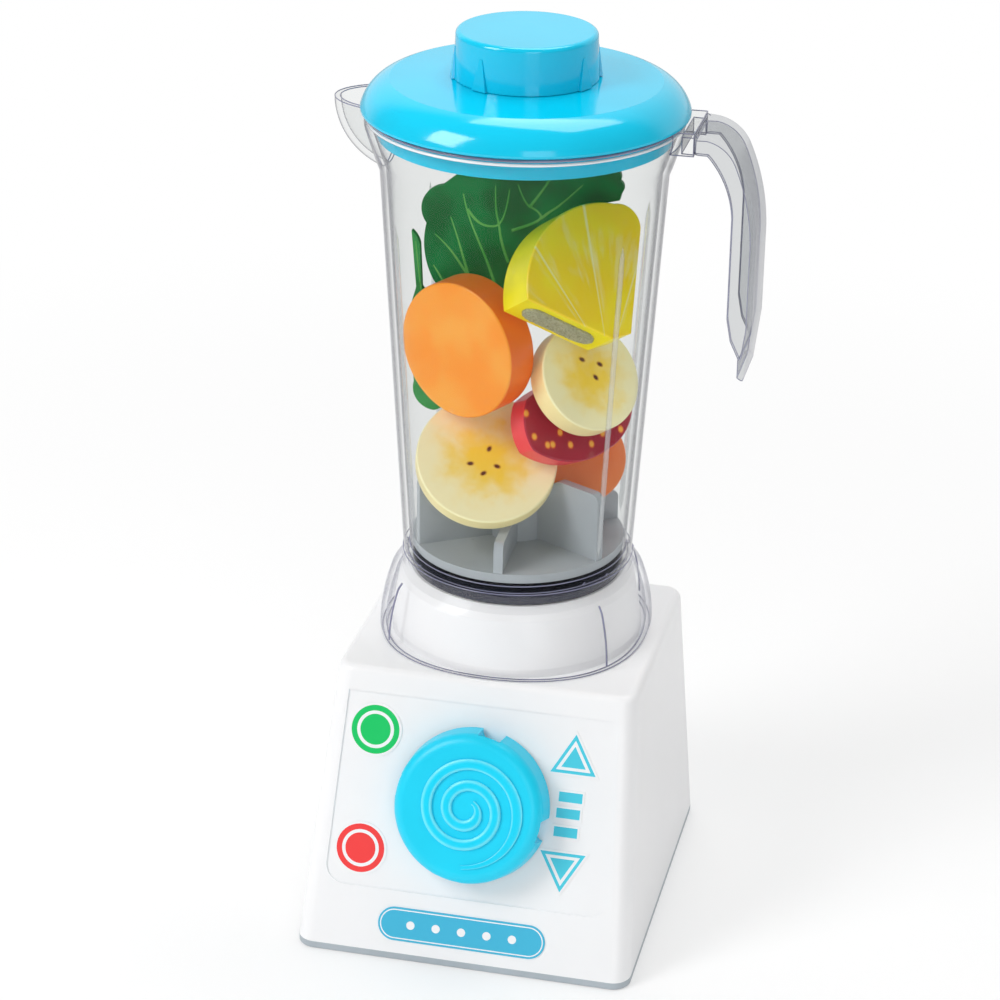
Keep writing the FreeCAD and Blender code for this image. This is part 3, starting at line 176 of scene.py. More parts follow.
class Graph:
    """A node tree under construction, with one way to add any node to it."""

    def __init__(self, tree):
        self.tree = tree
        tree.nodes.clear()

    def node(self, kind, settings=None, inputs=None, output=0):
        made = self.tree.nodes.new(kind)
        for name, value in (settings or {}).items():
            setattr(made, name, value)
        for key, value in (inputs or {}).items():
            if isinstance(value, Value):
                self.tree.links.new(value.socket, made.inputs[key])
            else:
                made.inputs[key].default_value = value
        return Value(self, made.outputs[output]) if made.outputs else None

    def place(self):
        """Where a point is on the object, in metres."""
        return self.node("ShaderNodeTexCoord", output="Object")

    def along(self, origin, axis):
        """How far a point is past an origin along an axis, in millimetres."""
        offset = self.node(
            "ShaderNodeVectorMath", {"operation": "SUBTRACT"},
            {0: self.place(), 1: tuple(Vector(origin) * MM)},
        )
        axis = tuple(Vector(axis) / MM)
        return self.node(
            "ShaderNodeVectorMath", {"operation": "DOT_PRODUCT"}, {0: offset, 1: axis}, "Value"
        )

    def noise(self, size, detail=3.0):
        """Noise with features of about this many millimetres."""
        return self.node(
            "ShaderNodeTexNoise", None,
            {"Vector": self.place(), "Scale": 1 / (size * MM), "Detail": detail},
        )

    def mix(self, share, first, second):
        """One colour that turns into another with share."""
        return self.node(
            "ShaderNodeMix", {"data_type": "RGBA"}, {0: share, 6: first, 7: second}, 2
        )

    def either_ray(self, *kinds):
        """1 on light rays of either of two kinds."""
        first, second = (
            self.node("ShaderNodeLightPath", output=f"Is {kind} Ray") for kind in kinds
        )
        return first.most(second)

    def parts(self, vector):
        """The X, Y and Z of a vector."""
        return [
            self.node("ShaderNodeSeparateXYZ", None, {0: vector}, index) for index in range(3)
        ]

    def bump(self, height, depth):
        """A normal that follows a height from 0 to 1, for a relief this many millimetres deep."""
        return self.node("ShaderNodeBump", None, {"Height": height, "Distance": depth * MM})

    def shader(self, colour, roughness, normal=None, **constants):
        """A Principled shader; what changes over a surface comes in colour, roughness, normal."""
        inputs = {"Base Color": colour, "Roughness": roughness, **constants}
        if normal is not None:
            inputs["Normal"] = normal
        return self.node("ShaderNodeBsdfPrincipled", None, inputs)


def finish(name, recipe, *details):
    """A material made by one of the recipes below."""
    material = bpy.data.materials.new(name)
    material.use_nodes = True
    graph = Graph(material.node_tree)
    surface = recipe(graph, *details)
    graph.node("ShaderNodeOutputMaterial", None, {"Surface": surface})
    return material


def distance(across, up):
    """How far a place is from the point that its two measures start at."""
    return (across ** 2.0 + up ** 2.0) ** 0.5


# Recipes: each returns the shader of one kind of surface.


def moulded(graph, colour, roughness, coat=0.0, grain=0.012, mottle=0.03):
    """Injection-moulded plastic: faint flow in its colour, a fine skin and handling marks."""
    flow = graph.noise(38.0, 2.0)
    skin = graph.noise(0.5, 2.0)
    wear = graph.noise(9.0, 4.0)
    darker = tuple(level * (1 - 3 * mottle) for level in colour[:3]) + (1.0,)
    tone = graph.mix(flow.ramp(0.35, 0.7), darker, colour)
    return graph.shader(
        tone, wear * 0.10 + (roughness - 0.05), graph.bump(skin, grain),
        **{"Coat Weight": coat, "Coat Roughness": 0.06, "IOR": 1.49},
    )


def clear(graph, tint, body, rim, gloss=0.006):
    """Clear moulded plastic: it shows what it holds, and is greyer and shinier seen edge on."""
    flow = graph.noise(16.0, 2.0)
    skin = graph.noise(6.0, 2.0)
    darker = tuple(level * 0.8 for level in body[:3]) + (1.0,)
    edge_on = graph.node("ShaderNodeLayerWeight", None, {"Blend": 0.5}, "Facing")
    unseen = graph.either_ray("Shadow", "Diffuse")
    through = graph.node("ShaderNodeMixShader", None, {
        0: unseen, 1: graph.node("ShaderNodeBsdfTransparent", None, {0: tint}),
        2: graph.node("ShaderNodeBsdfTransparent", None, {0: (0.99, 0.99, 0.99, 1.0)}),
    })
    milky = graph.shader(
        graph.mix(flow.ramp(0.3, 0.7), darker, body), skin * 0.06 + 0.12, graph.bump(skin, 0.02)
    )
    seen = graph.node("ShaderNodeMixShader", None, {
        0: (edge_on ** 6.0 * 0.45 + edge_on.ramp(0.7, 0.94) * rim + flow * 0.008)
        * (1 - unseen), 1: through, 2: milky,
    })
    shine = graph.shader(
        (0.93, 0.94, 0.96, 1.0), graph.noise(5.0).ramp(0.3, 0.8, 0.02, 0.06),
        graph.bump(skin, 0.02), Metallic=1.0,
    )
    return graph.node("ShaderNodeMixShader", None, {
        0: (edge_on ** 6.0 * 0.22 + gloss) * (1 - unseen), 1: seen, 2: shine,
    })


def crest(graph, colour, edge):
    """A moulded ridge on the knob's face, painted paler down its slopes as a highlight."""
    tilt = graph.node(
        "ShaderNodeVectorMath", {"operation": "DOT_PRODUCT"},
        {0: graph.node("ShaderNodeTexCoord", output="Normal"), 1: tuple(OUT_OF_FACE)}, "Value",
    )
    skin = graph.noise(3.0, 3.0)
    # Painted highlight: the slopes, found by how far their normals lean from the face, turn paler.
    slope = (1 - tilt).ramp(0.004, 0.05) * skin.ramp(0.2, 0.6, 0.7, 1.0)
    return graph.shader(graph.mix(slope, colour, edge), skin * 0.1 + 0.25, graph.bump(skin, 0.01))


def turned_steel(graph):
    """Bright steel with fine turning marks round its axis."""
    marks = graph.node(
        "ShaderNodeTexWave", {"wave_type": "RINGS", "rings_direction": "Z"},
        {"Vector": graph.place(), "Scale": 900.0, "Distortion": 1.5, "Detail": 2.0},
    )
    stain = graph.noise(4.0)
    tone = graph.mix(stain, paint(176, 176, 178), paint(206, 206, 208))
    return graph.shader(tone, marks * 0.12 + 0.28, graph.bump(marks, 0.01), Metallic=1.0)


def face_place(graph, across, up):
    """Millimetres across and up the front face from a place on it."""
    spot = APEX + Vector((across, 0, 0)) + UP_FACE * up
    return graph.along(spot, (1, 0, 0)), graph.along(spot, UP_FACE)


def printed(graph, share, ink):
    """A glossy printed film, inked where share is 1."""
    speckle = graph.noise(0.6, 2.0)
    tone = graph.mix(share, WHITE, ink)
    return graph.shader(
        tone, graph.noise(6.0) * 0.08 + 0.26, graph.bump(speckle, 0.008),
        **{"Coat Weight": 0.25, "Coat Roughness": 0.1},
    )


def dot_print(graph, place, ink):
    """A disc inside a ring, inside a white edge."""
    across, up = face_place(graph, *place)
    reach = distance(across, up)
    band = (reach > DOT_RING[0]) * (reach < DOT_RING[1])
    return printed(graph, band.most(reach < DOT_DISC), ink)


def arrow_print(graph, place, ink):
    """A triangle inside a triangle, inside a white edge."""
    across, up = face_place(graph, *place[:2])
    way = place[2]
    lean = math.atan2(ARROW_HEIGHT, ARROW_HALF_BASE)
    base = up * way + ARROW_HEIGHT / 3
    slope = (2 * ARROW_HEIGHT / 3 - up * way) * math.cos(lean) - abs(across) * math.sin(lean)
    inside = base.least(slope)
    line = (inside > 0.75) * (inside < 1.85)
    return printed(graph, line.most(inside > 2.9), ink)


def bar_print(graph, ink):
    """Three bars, each with a white edge."""
    inked = None
    for place in BARS:
        across, up = face_place(graph, *place)
        bar = (abs(across) < BAR_HALF_LENGTH) * (abs(up) < BAR_HALF_WIDTH)
        inked = bar if inked is None else inked.most(bar)
    return printed(graph, inked, ink)


def label_print(graph, ink):
    """A strip with a row of five plain dots and a thin line round it."""
    across, up = face_place(graph, *LABEL)
    reach = distance((abs(across) - LABEL_HALF_STRAIGHT).most(0.0), up)
    line = (reach > LABEL_LINE[0]) * (reach < LABEL_LINE[1])
    step = graph.node("ShaderNodeMath", {"operation": "WRAP"}, {
        0: across, 1: LABEL_HALF_PITCH, 2: -LABEL_HALF_PITCH,
    })
    dot = (distance(step, up) < LABEL_DOT) * (abs(across) < LABEL_DOTS_END)
    return printed(graph, 1 - line.most(dot), ink)


def slice_axes(name):
    """A slice's own axes: across its face, up its face and out of it."""
    azimuth, rise = (math.radians(angle) for angle in SLICES[name][3:])
    out = Vector((
        math.cos(azimuth) * math.cos(rise), math.sin(azimuth) * math.cos(rise), math.sin(rise)
    ))
    across = Vector((-math.sin(azimuth), math.cos(azimuth), 0))
    return across, out.cross(across), out


def on_slice(graph, name):
    """Millimetres across, up and out of a slice's face."""
    return [graph.along(SLICES[name][:3], axis) for axis in slice_axes(name)]


def painted(graph, tone, depth, side):
    """Satin paint on wood: the face's picture, a plain side, and paint worn thin in spots."""
    grain = graph.noise(2.2, 3.0)
    worn = graph.noise(11.0, 5.0).ramp(0.66, 0.74, 0.0, 0.35)
    tone = graph.mix(depth > -PICTURE_DEPTH, side, tone)
    tone = graph.mix(worn * 0.25, tone, BARE_WOOD)
    return graph.shader(
        tone, grain * 0.14 + 0.30, graph.bump(grain, 0.0015),
        **{"Coat Weight": 0.15, "Coat Roughness": 0.18},
    )


def orange_paint(graph):
    """Orange, clouded on the face and deeper on the side."""
    out = on_slice(graph, "orange_slice")[2]
    cloud = graph.noise(16.0, 2.0)
    face = graph.mix(cloud.ramp(0.3, 0.75), paint(255, 148, 0), paint(255, 168, 50))
    return painted(graph, face, out, paint(255, 118, 10))


def peach_paint(graph):
    """Reddish orange, clouded on the face and deeper on the side."""
    out = on_slice(graph, "peach_slice")[2]
    face = graph.mix(graph.noise(9.0, 3.0), paint(240, 122, 50), paint(250, 152, 84))
    return painted(graph, face, out, paint(222, 100, 44))


def with_spots(graph, face, across, up, spots, long_half, short_half, rim, heart):
    """Small ovals on a face, soft at the rim: each is a place and the way that it points."""
    for spot_across, spot_up, turn in spots:
        swing = math.radians(turn)
        right, above = across - spot_across, up - spot_up
        long_way = (right * math.cos(swing) + above * math.sin(swing)) / long_half
        short_way = (above * math.cos(swing) - right * math.sin(swing)) / short_half
        reach = long_way ** 2.0 + short_way ** 2.0
        face = graph.mix(reach.ramp(0.8, 1.5, 1.0, 0.0), face, rim)
        face = graph.mix(reach.ramp(0.3, 0.7, 1.0, 0.0), face, heart)
    return face


def banana_paint(graph, name, radius, seeds):
    """Yellow flesh that pales outwards, with a few dark seeds."""
    across, up, out = on_slice(graph, name)
    reach = distance(across, up)
    cloud = graph.noise(6.0, 4.0)
    paling = (reach / radius + cloud * 0.9).ramp(0.6, 1.35)
    face = graph.mix(paling, paint(255, 220, 70), paint(255, 248, 196))
    face = with_spots(
        graph, face, across, up, seeds, 1.3, 0.85, paint(214, 160, 60), paint(92, 48, 30)
    )
    return painted(graph, face, out, paint(255, 240, 176))


def strawberry_paint(graph):
    """Deep red flesh with pale seeds, and a pink cut side."""
    across, up, out = on_slice(graph, "strawberry_slice")
    face = graph.mix(graph.noise(9.0, 3.0), paint(158, 20, 46), paint(186, 34, 58))
    face = with_spots(
        graph, face, across, up, BERRY_SEEDS, 1.35, 1.15, paint(236, 112, 48), paint(255, 190, 70)
    )
    return painted(graph, face, out, paint(240, 62, 86))


def pineapple_paint(graph):
    """Yellow flesh with pale fibres that run in towards the core, and a greener rind."""
    across, up, out = on_slice(graph, "pineapple_wedge")
    angle = graph.node("ShaderNodeMath", {"operation": "ARCTAN2"}, {0: up + 8.0, 1: across + 4.0})
    reach = distance(across, up)
    fan = graph.node("ShaderNodeCombineXYZ", None, {0: angle * 9.0, 1: reach * 0.05})
    fibre = graph.node("ShaderNodeTexNoise", None, {"Vector": fan, "Scale": 1.0, "Detail": 3.0})
    streak = fibre.ramp(0.5, 0.78, 0.0, 0.6) * reach.ramp(2.0, 16.0)
    lines = graph.node("ShaderNodeMath", {"operation": "PINGPONG"}, {0: angle * 2.1, 1: 0.5})
    cloud = graph.noise(15.0, 2.0).ramp(0.35, 0.7)
    flesh = graph.mix(cloud, paint(255, 218, 0), paint(255, 232, 14))
    face = graph.mix(streak, flesh, paint(250, 243, 176))
    face = graph.mix(lines.ramp(0.0, 0.035, 0.75, 0.0), face, paint(251, 246, 180))
    cloud = graph.noise(12.0, 2.0).ramp(0.4, 0.7)
    rind = graph.mix(cloud, paint(255, 240, 16), paint(240, 228, 8))
    return painted(graph, face, out, rind)


def leaf_paint(graph, dark, pale):
    """Green paint, mottled between a dark and a pale green."""
    cloud = graph.noise(18.0, 4.0)
    grain = graph.noise(2.4, 3.0)
    tone = graph.mix(cloud.ramp(0.35, 0.7), dark, pale)
    return graph.shader(
        tone, grain * 0.12 + 0.42, graph.bump(grain, 0.02), **{"Coat Weight": 0.05, "IOR": 1.35}
    )


def fuzz(graph, dark, pale):
    """Woven hook-and-loop tape."""
    weave = graph.node(
        "ShaderNodeTexVoronoi", {"feature": "F1"}, {"Vector": graph.place(), "Scale": 1400.0},
        "Distance",
    )
    tone = graph.mix(weave, pale, dark)
    return graph.shader(tone, weave * 0.2 + 0.75, graph.bump(weave, 0.25))


def floor_paint(graph):
    """A white floor that stays white to the eye and keeps a soft shadow."""
    bounce = graph.node("ShaderNodeBsdfDiffuse", None, {0: paint(250, 250, 250)})
    glow = graph.node("ShaderNodeEmission", None, {0: (1, 1, 1, 1), 1: 1.0})
    seen = graph.either_ray("Camera", "Transmission")
    right, behind = graph.along((0, 0, 0), (1, 0, 0)), graph.along((0, 0, 0), (0, 1, 0))
    share = seen * distance(right, behind).ramp(180.0, 700.0, 0.42, 1.0)
    return graph.node("ShaderNodeMixShader", None, {0: share, 1: bounce, 2: glow})


# Extra pieces.


def mesh_from(made, name):
    """The evaluated result of an object as a plain mesh object; the first object goes."""
    bpy.context.view_layer.update()
    evaluated = made.evaluated_get(bpy.context.evaluated_depsgraph_get())
    mesh = bpy.data.meshes.new_from_object(evaluated)
    bpy.data.objects.remove(made)
    piece = bpy.data.objects.new(name, mesh)
    bpy.context.scene.collection.objects.link(piece)
    return piece


def grown(name, build, sizes, material, start=None):
    """A piece grown by a tree of geometry nodes whose inputs are its sizes.

    build gets the graph and its inputs by name, with the start mesh as Geometry, and returns
    geometry.
    """
    tree = bpy.data.node_groups.new(name, "GeometryNodeTree")
    graph = Graph(tree)
    tree.interface.new_socket("Geometry", in_out="INPUT", socket_type="NodeSocketGeometry")
    tree.interface.new_socket("Geometry", in_out="OUTPUT", socket_type="NodeSocketGeometry")
    identifiers = {}
    for word in sizes:
        socket = tree.interface.new_socket(word, in_out="INPUT", socket_type="NodeSocketFloat")
        identifiers[word] = socket.identifier
    entry = tree.nodes.new("NodeGroupInput")
    inputs = {socket.name: Value(graph, socket) for socket in entry.outputs if socket.name}
    shape = build(graph, inputs)
    shape = graph.node("GeometryNodeRealizeInstances", None, {0: shape})
    shape = graph.node("GeometryNodeSetMaterial", None, {"Geometry": shape, "Material": material})
    graph.node("NodeGroupOutput", None, {0: shape})
    base = start or bpy.data.meshes.new(name)
    grower = bpy.data.objects.new(name, base)
    bpy.context.scene.collection.objects.link(grower)
    modifier = grower.modifiers.new("Grow", "NODES")
    modifier.node_group = tree
    for word, value in sizes.items():
        modifier[identifiers[word]] = float(value)
    return mesh_from(grower, name)


def smooth(piece, angle):
    """Smooth shading that stays crisp at edges sharper than an angle."""
    for polygon in piece.data.polygons:
        polygon.use_smooth = True
    shape = bmesh.new()
    shape.from_mesh(piece.data)
    for edge in shape.edges:
        edge.smooth = len(edge.link_faces) == 2 and edge.calc_face_angle(0) < math.radians(angle)
    shape.to_mesh(piece.data)
    shape.free()
    return piece


def merged_copy(node):
    """A copy of a CAD node's mesh with its vertices joined, smoothly shaded."""
    source = frame["nodes"][node]
    piece = bpy.data.objects.new(f"{node}_skin", source.data.copy())
    bpy.context.scene.collection.objects.link(piece)
    shape = bmesh.new()
    shape.from_mesh(piece.data)
    bmesh.ops.remove_doubles(shape, verts=shape.verts, dist=1e-6)
    shape.to_mesh(piece.data)
    shape.free()
    if piece.data.has_custom_normals:
        piece.data.attributes.remove(piece.data.attributes["custom_normal"])
    return smooth(piece, SKIN_ANGLE)


def lobed(piece, swell):
    """Lets a round bell swell softly towards four corners, most at its belly."""
    for vertex in piece.data.vertices:
        spot = vertex.co
        corner = (1 - math.cos(4 * math.atan2(spot.y, spot.x))) / 2
        low = min(max((COLLAR_TOP - spot.z) / (COLLAR_TOP - COLLAR_FOOT), 0.0), 1.0)
        reach = math.hypot(spot.x, spot.y)
        spot.xy *= 1 + swell * corner * math.sin(low * math.pi * SWELL_SHARE) / reach


def sharp_edges(piece, angle):
    """The crisp edges of a piece as a mesh of lines, drawn in a little under its skin."""
    shape = bmesh.new()
    shape.from_mesh(piece.data)
    shape.normal_update()
    for vertex in shape.verts:
        vertex.co -= vertex.normal * BEAD_INSET
    plain = [
        edge for edge in shape.edges
        if len(edge.link_faces) != 2 or edge.calc_face_angle(0) < math.radians(angle)
    ]
    bmesh.ops.delete(shape, geom=plain, context="EDGES_FACES")
    loose = [vertex for vertex in shape.verts if not vertex.link_edges]
    bmesh.ops.delete(shape, geom=loose, context="VERTS")
    bmesh.ops.delete(shape, geom=list(shape.faces), context="FACES_ONLY")
    lines = bpy.data.meshes.new(f"{piece.name}_edges")
    shape.to_mesh(lines)
    shape.free()
    return lines


def ring(radius, height, count=120):
    """A closed line round the drive axis, in millimetres."""
    turns = [2 * math.pi * index / count for index in range(count + 1)]
    return [(radius * math.cos(turn), radius * math.sin(turn), height) for turn in turns]


def collar_crease(azimuth):
    """A line down one corner of the collar, in millimetres."""
    turn = math.radians(azimuth)
    steps = 24
    line = []
    for step in range(steps + 1):
        height = CREASE_TOP - CREASE_LENGTH * step / steps
        down = (SHOULDER_HEIGHT - height) / SHOULDER_DROP
        bell = BELL_FLARE * down + BELL_BOW * down * (1 - down)
        reach = SHOULDER_RADIUS + (bell if down > 0 else NECK_FLARE * down)
        line.append((reach * math.cos(turn), reach * math.sin(turn), height))
    return line


def line_mesh(name, lines):
    """A mesh of lines through points given in millimetres."""
    points, joins = [], []
    for line in lines:
        joins += [(len(points) + step, len(points) + step + 1) for step in range(len(line) - 1)]
        points += [Vector(point) * MM for point in line]
    mesh = bpy.data.meshes.new(name)
    mesh.from_pydata(points, joins, [])
    return mesh


def beads(graph, sizes):
    """Thin round beads along a mesh of lines."""
    curve = graph.node("GeometryNodeMeshToCurve", None, {0: sizes["Geometry"]})
    profile = graph.node("GeometryNodeCurvePrimitiveCircle", None, {
        "Resolution": 8, "Radius": sizes["Bead radius"],
    })
    return graph.node("GeometryNodeCurveToMesh", None, {
        "Curve": curve, "Profile Curve": profile, "Fill Caps": True,
    })


def spiral_ridge(graph, sizes):
    """A soft ridge that winds clockwise and outwards on the knob's face, and fades out."""
    line = graph.node("GeometryNodeCurvePrimitiveLine")
    line = graph.node("GeometryNodeResampleCurve", None, {"Curve": line, "Count": 260})
    share = graph.node("GeometryNodeSplineParameter", output="Factor")
    turn = share * sizes["Turn"] + sizes["Start turn"]
    reach = share ** 1.2 * sizes["Growth"] + sizes["Start radius"]
    spot = graph.node("ShaderNodeCombineXYZ", None, {
        0: reach * graph.node("ShaderNodeMath", {"operation": "SINE"}, {0: turn}),
        1: reach * graph.node("ShaderNodeMath", {"operation": "COSINE"}, {0: turn}),
    })
    line = graph.node("GeometryNodeSetPosition", None, {"Geometry": line, "Position": spot})
    profile = graph.node("GeometryNodeCurvePrimitiveCircle", None, {
        "Resolution": 20, "Radius": sizes["Ridge width"] / 2,
    })
    ridge = graph.node("GeometryNodeCurveToMesh", None, {
        "Curve": line, "Profile Curve": profile, "Fill Caps": True,
        "Scale": share.ramp(0.0, 0.05, 0.45, 1.0) * share.ramp(0.8, 1.0, 1.0, 0.35),
    })
    right, above, outwards = graph.parts(graph.node("GeometryNodeInputPosition"))
    height = distance(right, above).ramp(12.5 * MM, 22.5 * MM, 1.0, 0.25) * sizes["Ridge height"]
    lower = graph.node("ShaderNodeCombineXYZ", None, {
        0: right, 1: above, 2: outwards * height * 2 / sizes["Ridge width"],
    })
    ridge = graph.node("GeometryNodeSetPosition", None, {"Geometry": ridge, "Position": lower})
    middle = (APEX + OUT_OF_FACE * KNOB_FACE) * MM
    return graph.node("GeometryNodeTransform", None, {
        "Geometry": ridge, "Translation": tuple(middle),
        "Rotation": (math.pi / 2 - FACE_LEAN, 0.0, 0.0),
    })


def tape_loops(graph, sizes):
    """Short stiff loops scattered on a strip of tape."""
    spots = graph.node("GeometryNodeDistributePointsOnFaces", None, {
        "Mesh": sizes["Geometry"], "Density": sizes["Loops per square metre"], "Seed": 7,
    })
    outwards = Value(graph, spots.socket.node.outputs["Rotation"])
    loop = graph.node("GeometryNodeMeshUVSphere", None, {
        "Segments": 6, "Rings": 4, "Radius": sizes["Loop size"],
    })
    stretch = graph.node(
        "FunctionNodeRandomValue", {"data_type": "FLOAT_VECTOR"},
        {0: (0.5, 0.5, 0.8), 1: (1.6, 1.0, 1.5), "Seed": 11},
    )
    return graph.node("GeometryNodeInstanceOnPoints", None, {
        "Points": spots, "Instance": loop, "Rotation": outwards, "Scale": stretch,
    })


def upright_ribs(graph, sizes):
    """Tapered ribs with rounded ends inside the jar's wall, in two pairs."""
    bar = graph.node("GeometryNodeMeshCylinder", None, {
        "Vertices": 20, "Side Segments": 24, "Radius": 1.0, "Depth": 2.0,
    })
    across, depth, height = graph.parts(graph.node("GeometryNodeInputPosition"))
    swell = (1.0001 - abs(height) ** 24.0) ** 0.5
    level = height * sizes["Length"] / 2 + sizes["Middle height"]
    reach = sizes["Wall radius"] + (level - sizes["Middle height"]) * WALL_SLOPE
    spot = graph.node("ShaderNodeCombineXYZ", None, {
        0: reach + across * swell * sizes["Stand out"],
        1: depth * swell * sizes["Width"] / 2, 2: level,
    })
    bar = graph.node("GeometryNodeSetPosition", None, {"Geometry": bar, "Position": spot})
    points = graph.node("GeometryNodePoints", None, {"Count": 4})
    index = graph.node("GeometryNodeInputIndex")
    side = graph.node("ShaderNodeMath", {"operation": "FLOOR"}, {0: index * 0.5})
    swing = side * math.pi + (index - side * 2 - 0.5) * RIB_SPREAD
    turn = graph.node("ShaderNodeCombineXYZ", None, {2: swing})
    return graph.node("GeometryNodeInstanceOnPoints", None, {
        "Points": points, "Instance": bar, "Rotation": turn,
    })


VEINS = {
    "kale_veins": (17.2, 0.55, (
        ((-13, 217), (-16.3, 227), (-19.8, 234.6), (-24.6, 246.4), (-25.5, 252)),
        ((-9.1, 228), (-11.8, 235.4), (-12.5, 241.4), (-14.1, 247.8), (-14, 256)),
        ((-24, 246.5), (-21.2, 242.4), (-16.9, 240.6), (-12.3, 241.3), (-9.8, 248.2), (-9, 255)),
        ((-8, 240), (0, 243.3), (2.9, 245.9), (0.7, 248.4), (-3.5, 250), (-6, 257)),
        ((2.4, 245.4), (4.9, 247.8), (9.4, 251), (17, 259)),
        ((-22, 217), (-24.4, 225.3), (-26, 230.5), (-27.3, 235.2), (-30, 243)),
        ((-23.7, 221.9), (-27, 226.9), (-31.4, 232.6), (-35.6, 236.1)),
        ((-31, 216), (-33.5, 220.5), (-36.2, 224.5)),
        ((-2, 249), (4, 257), (8, 265)),
    )),
    "spinach_veins": (6.0, 0.4, (
        ((-33, 177), (-33.8, 190), (-35.5, 205), (-38.6, 224), (-39.8, 237)),
        ((-34.2, 192), (-37.5, 198), (-40, 204)),
        ((-33.6, 185), (-30.5, 192), (-28.5, 199)),
        ((-36, 206), (-38.5, 209), (-40.8, 212)),
    )),
}


def leaf_veins(name, material):
    """Thin raised lines that branch over a leaf's front."""
    front, width, lines = VEINS[name]
    curve = bpy.data.curves.new(name, "CURVE")
    curve.dimensions = "3D"
    curve.bevel_depth = width * MM
    curve.bevel_resolution = 2
    curve.use_fill_caps = True
    for line in lines:
        spline = curve.splines.new("NURBS")
        spline.points.add(len(line) - 1)
        for index, (point, (across, up)) in enumerate(zip(spline.points, line)):
            point.co = (across * MM, front * MM, up * MM, 1.0)
            point.radius = 1.0 - 0.6 * index / (len(line) - 1)
        spline.order_u = 3
        spline.use_endpoint_u = True
    drawn = bpy.data.objects.new(name, curve)
    bpy.context.scene.collection.objects.link(drawn)
    piece = mesh_from(drawn, name)
    for vertex in piece.data.vertices:
        vertex.co.y = front * MM + (vertex.co.y - front * MM) * 0.3
    piece.data.materials.clear()
    piece.data.materials.append(material)
    return smooth(piece, 60)


# Finishes.

FINISHES = {
    "white_shell": finish("white plastic", moulded, WHITE, 0.32, 0.15, 0.01, 0.004),
    "grey_cover": finish("grey base plastic", moulded, paint(180, 189, 196), 0.45, 0.0, 0.03, 0.03),
    "screw_steel": finish("turned steel", turned_steel),
    "inner_plastic": finish("ivory gear plastic", moulded, paint(236, 232, 220), 0.42),
    "green_sticker": finish(
        "green dot print", dot_print, DOTS["sticker_start"], paint(14, 204, 104)
    ),
    "red_sticker": finish("red dot print", dot_print, DOTS["sticker_stop"], paint(250, 66, 66)),
    "plain_label": finish("dotted label print", label_print, paint(66, 186, 222)),
    "cyan_knob": finish("cyan knob plastic", moulded, paint(0, 218, 252), 0.38, 0.0, 0.012, 0.02),
    "dark_disc": finish("dark disc plastic", moulded, paint(44, 46, 62), 0.2, 0.5, 0.01, 0.06),
    "clear_jar": finish(
        "clear jar plastic", clear, (0.942, 0.947, 0.945, 1.0), paint(62, 64, 86), 0.85
    ),
    "clear_collar": finish(
        "clear collar plastic", clear, (0.99, 0.992, 0.994, 1.0), paint(124, 125, 152), 0.5
    ),
    "grey_impeller": finish("grey impeller plastic", moulded, paint(178, 185, 190), 0.3, 0.1),
    "pale_bush": finish("pale bush plastic", moulded, paint(214, 216, 218), 0.4),
    "orange_wood": finish("orange paint", orange_paint),
    "peach_wood": finish("peach paint", peach_paint),
    "pineapple_wood": finish("pineapple paint", pineapple_paint),
    "strawberry_wood": finish("strawberry paint", strawberry_paint),
    "patch_fabric": finish("hook and loop tape", fuzz, paint(150, 150, 116), paint(206, 204, 172)),
    "kale_wood": finish("kale paint", leaf_paint, paint(0, 100, 40), paint(6, 136, 66)),
    "spinach_wood": finish("spinach paint", leaf_paint, paint(24, 132, 56), paint(58, 158, 80)),
    "cyan_lid": finish("cyan lid plastic", moulded, CYAN, 0.13, 0.25, 0.006, 0.02),
}
NODE_FINISHES = {
    "jar_handle": finish(
        "clear handle plastic", clear, (0.83, 0.838, 0.842, 1.0), paint(120, 121, 142), 0.5
    ),
    "sticker_up": finish("up arrow print", arrow_print, ARROWS["sticker_up"], STICKER_BLUE),
    "sticker_down": finish("down arrow print", arrow_print, ARROWS["sticker_down"], STICKER_BLUE),
    "sticker_bars": finish("bar print", bar_print, STICKER_BLUE),
    "banana_slice_lower": finish(
        "lower banana paint", banana_paint, "banana_slice_lower", 24.9, LOWER_SEEDS
    ),
    "banana_slice_upper": finish(
        "upper banana paint", banana_paint, "banana_slice_upper", 19.3, UPPER_SEEDS
    ),
}
VEIN_PAINT = finish("vein paint", leaf_paint, paint(70, 168, 70), paint(112, 194, 96))
# The knob's crest: its own cyan, with a paler cyan painted on its slopes as highlight.
CREST = finish("knob crest", crest, paint(0, 218, 252), paint(104, 232, 252))
# Opaque beads painted on the clear plastic: a dark lavender one as the shade its edges show, a
# paler one for the handle's edges.
EDGE_SHADE_PAINT = finish("clear plastic edge", moulded, paint(138, 139, 168), 0.12, 1.0, 0.004, 0.1)
PALE_EDGE_SHADE_PAINT = finish("pale plastic edge", moulded, paint(172, 173, 198), 0.12, 1.0, 0.004, 0.1)
# White bead painted as a highlight round the jar's rim.
RIM_GLINT = finish("bright rim edge", moulded, paint(252, 252, 254), 0.12, 1.0, 0.004, 0.02)
RIB = finish("clear rib", clear, (0.93, 0.935, 0.935, 1.0), paint(62, 64, 84), 0.9, 0.22)
# The dark beads painted as edge shade on each clear skin: radius, finish and the least angle of an
# edge that gets one.
EDGE_SHADE_LINES = {
    "jar_body": (0.2, EDGE_SHADE_PAINT, 32),
    "jar_collar": (0.18, EDGE_SHADE_PAINT, 40),
    "jar_handle": (0.17, PALE_EDGE_SHADE_PAINT, 48),
}
SLOTS = {part["node"]: part["material_slot"] for part in frame["record"]["subparts"]}


def dress_nodes():
    """Gives every CAD node its finish."""
    for name, node in frame["nodes"].items():
        node.data.materials.clear()
        node.data.materials.append(NODE_FINISHES.get(name) or FINISHES[SLOTS[name]])


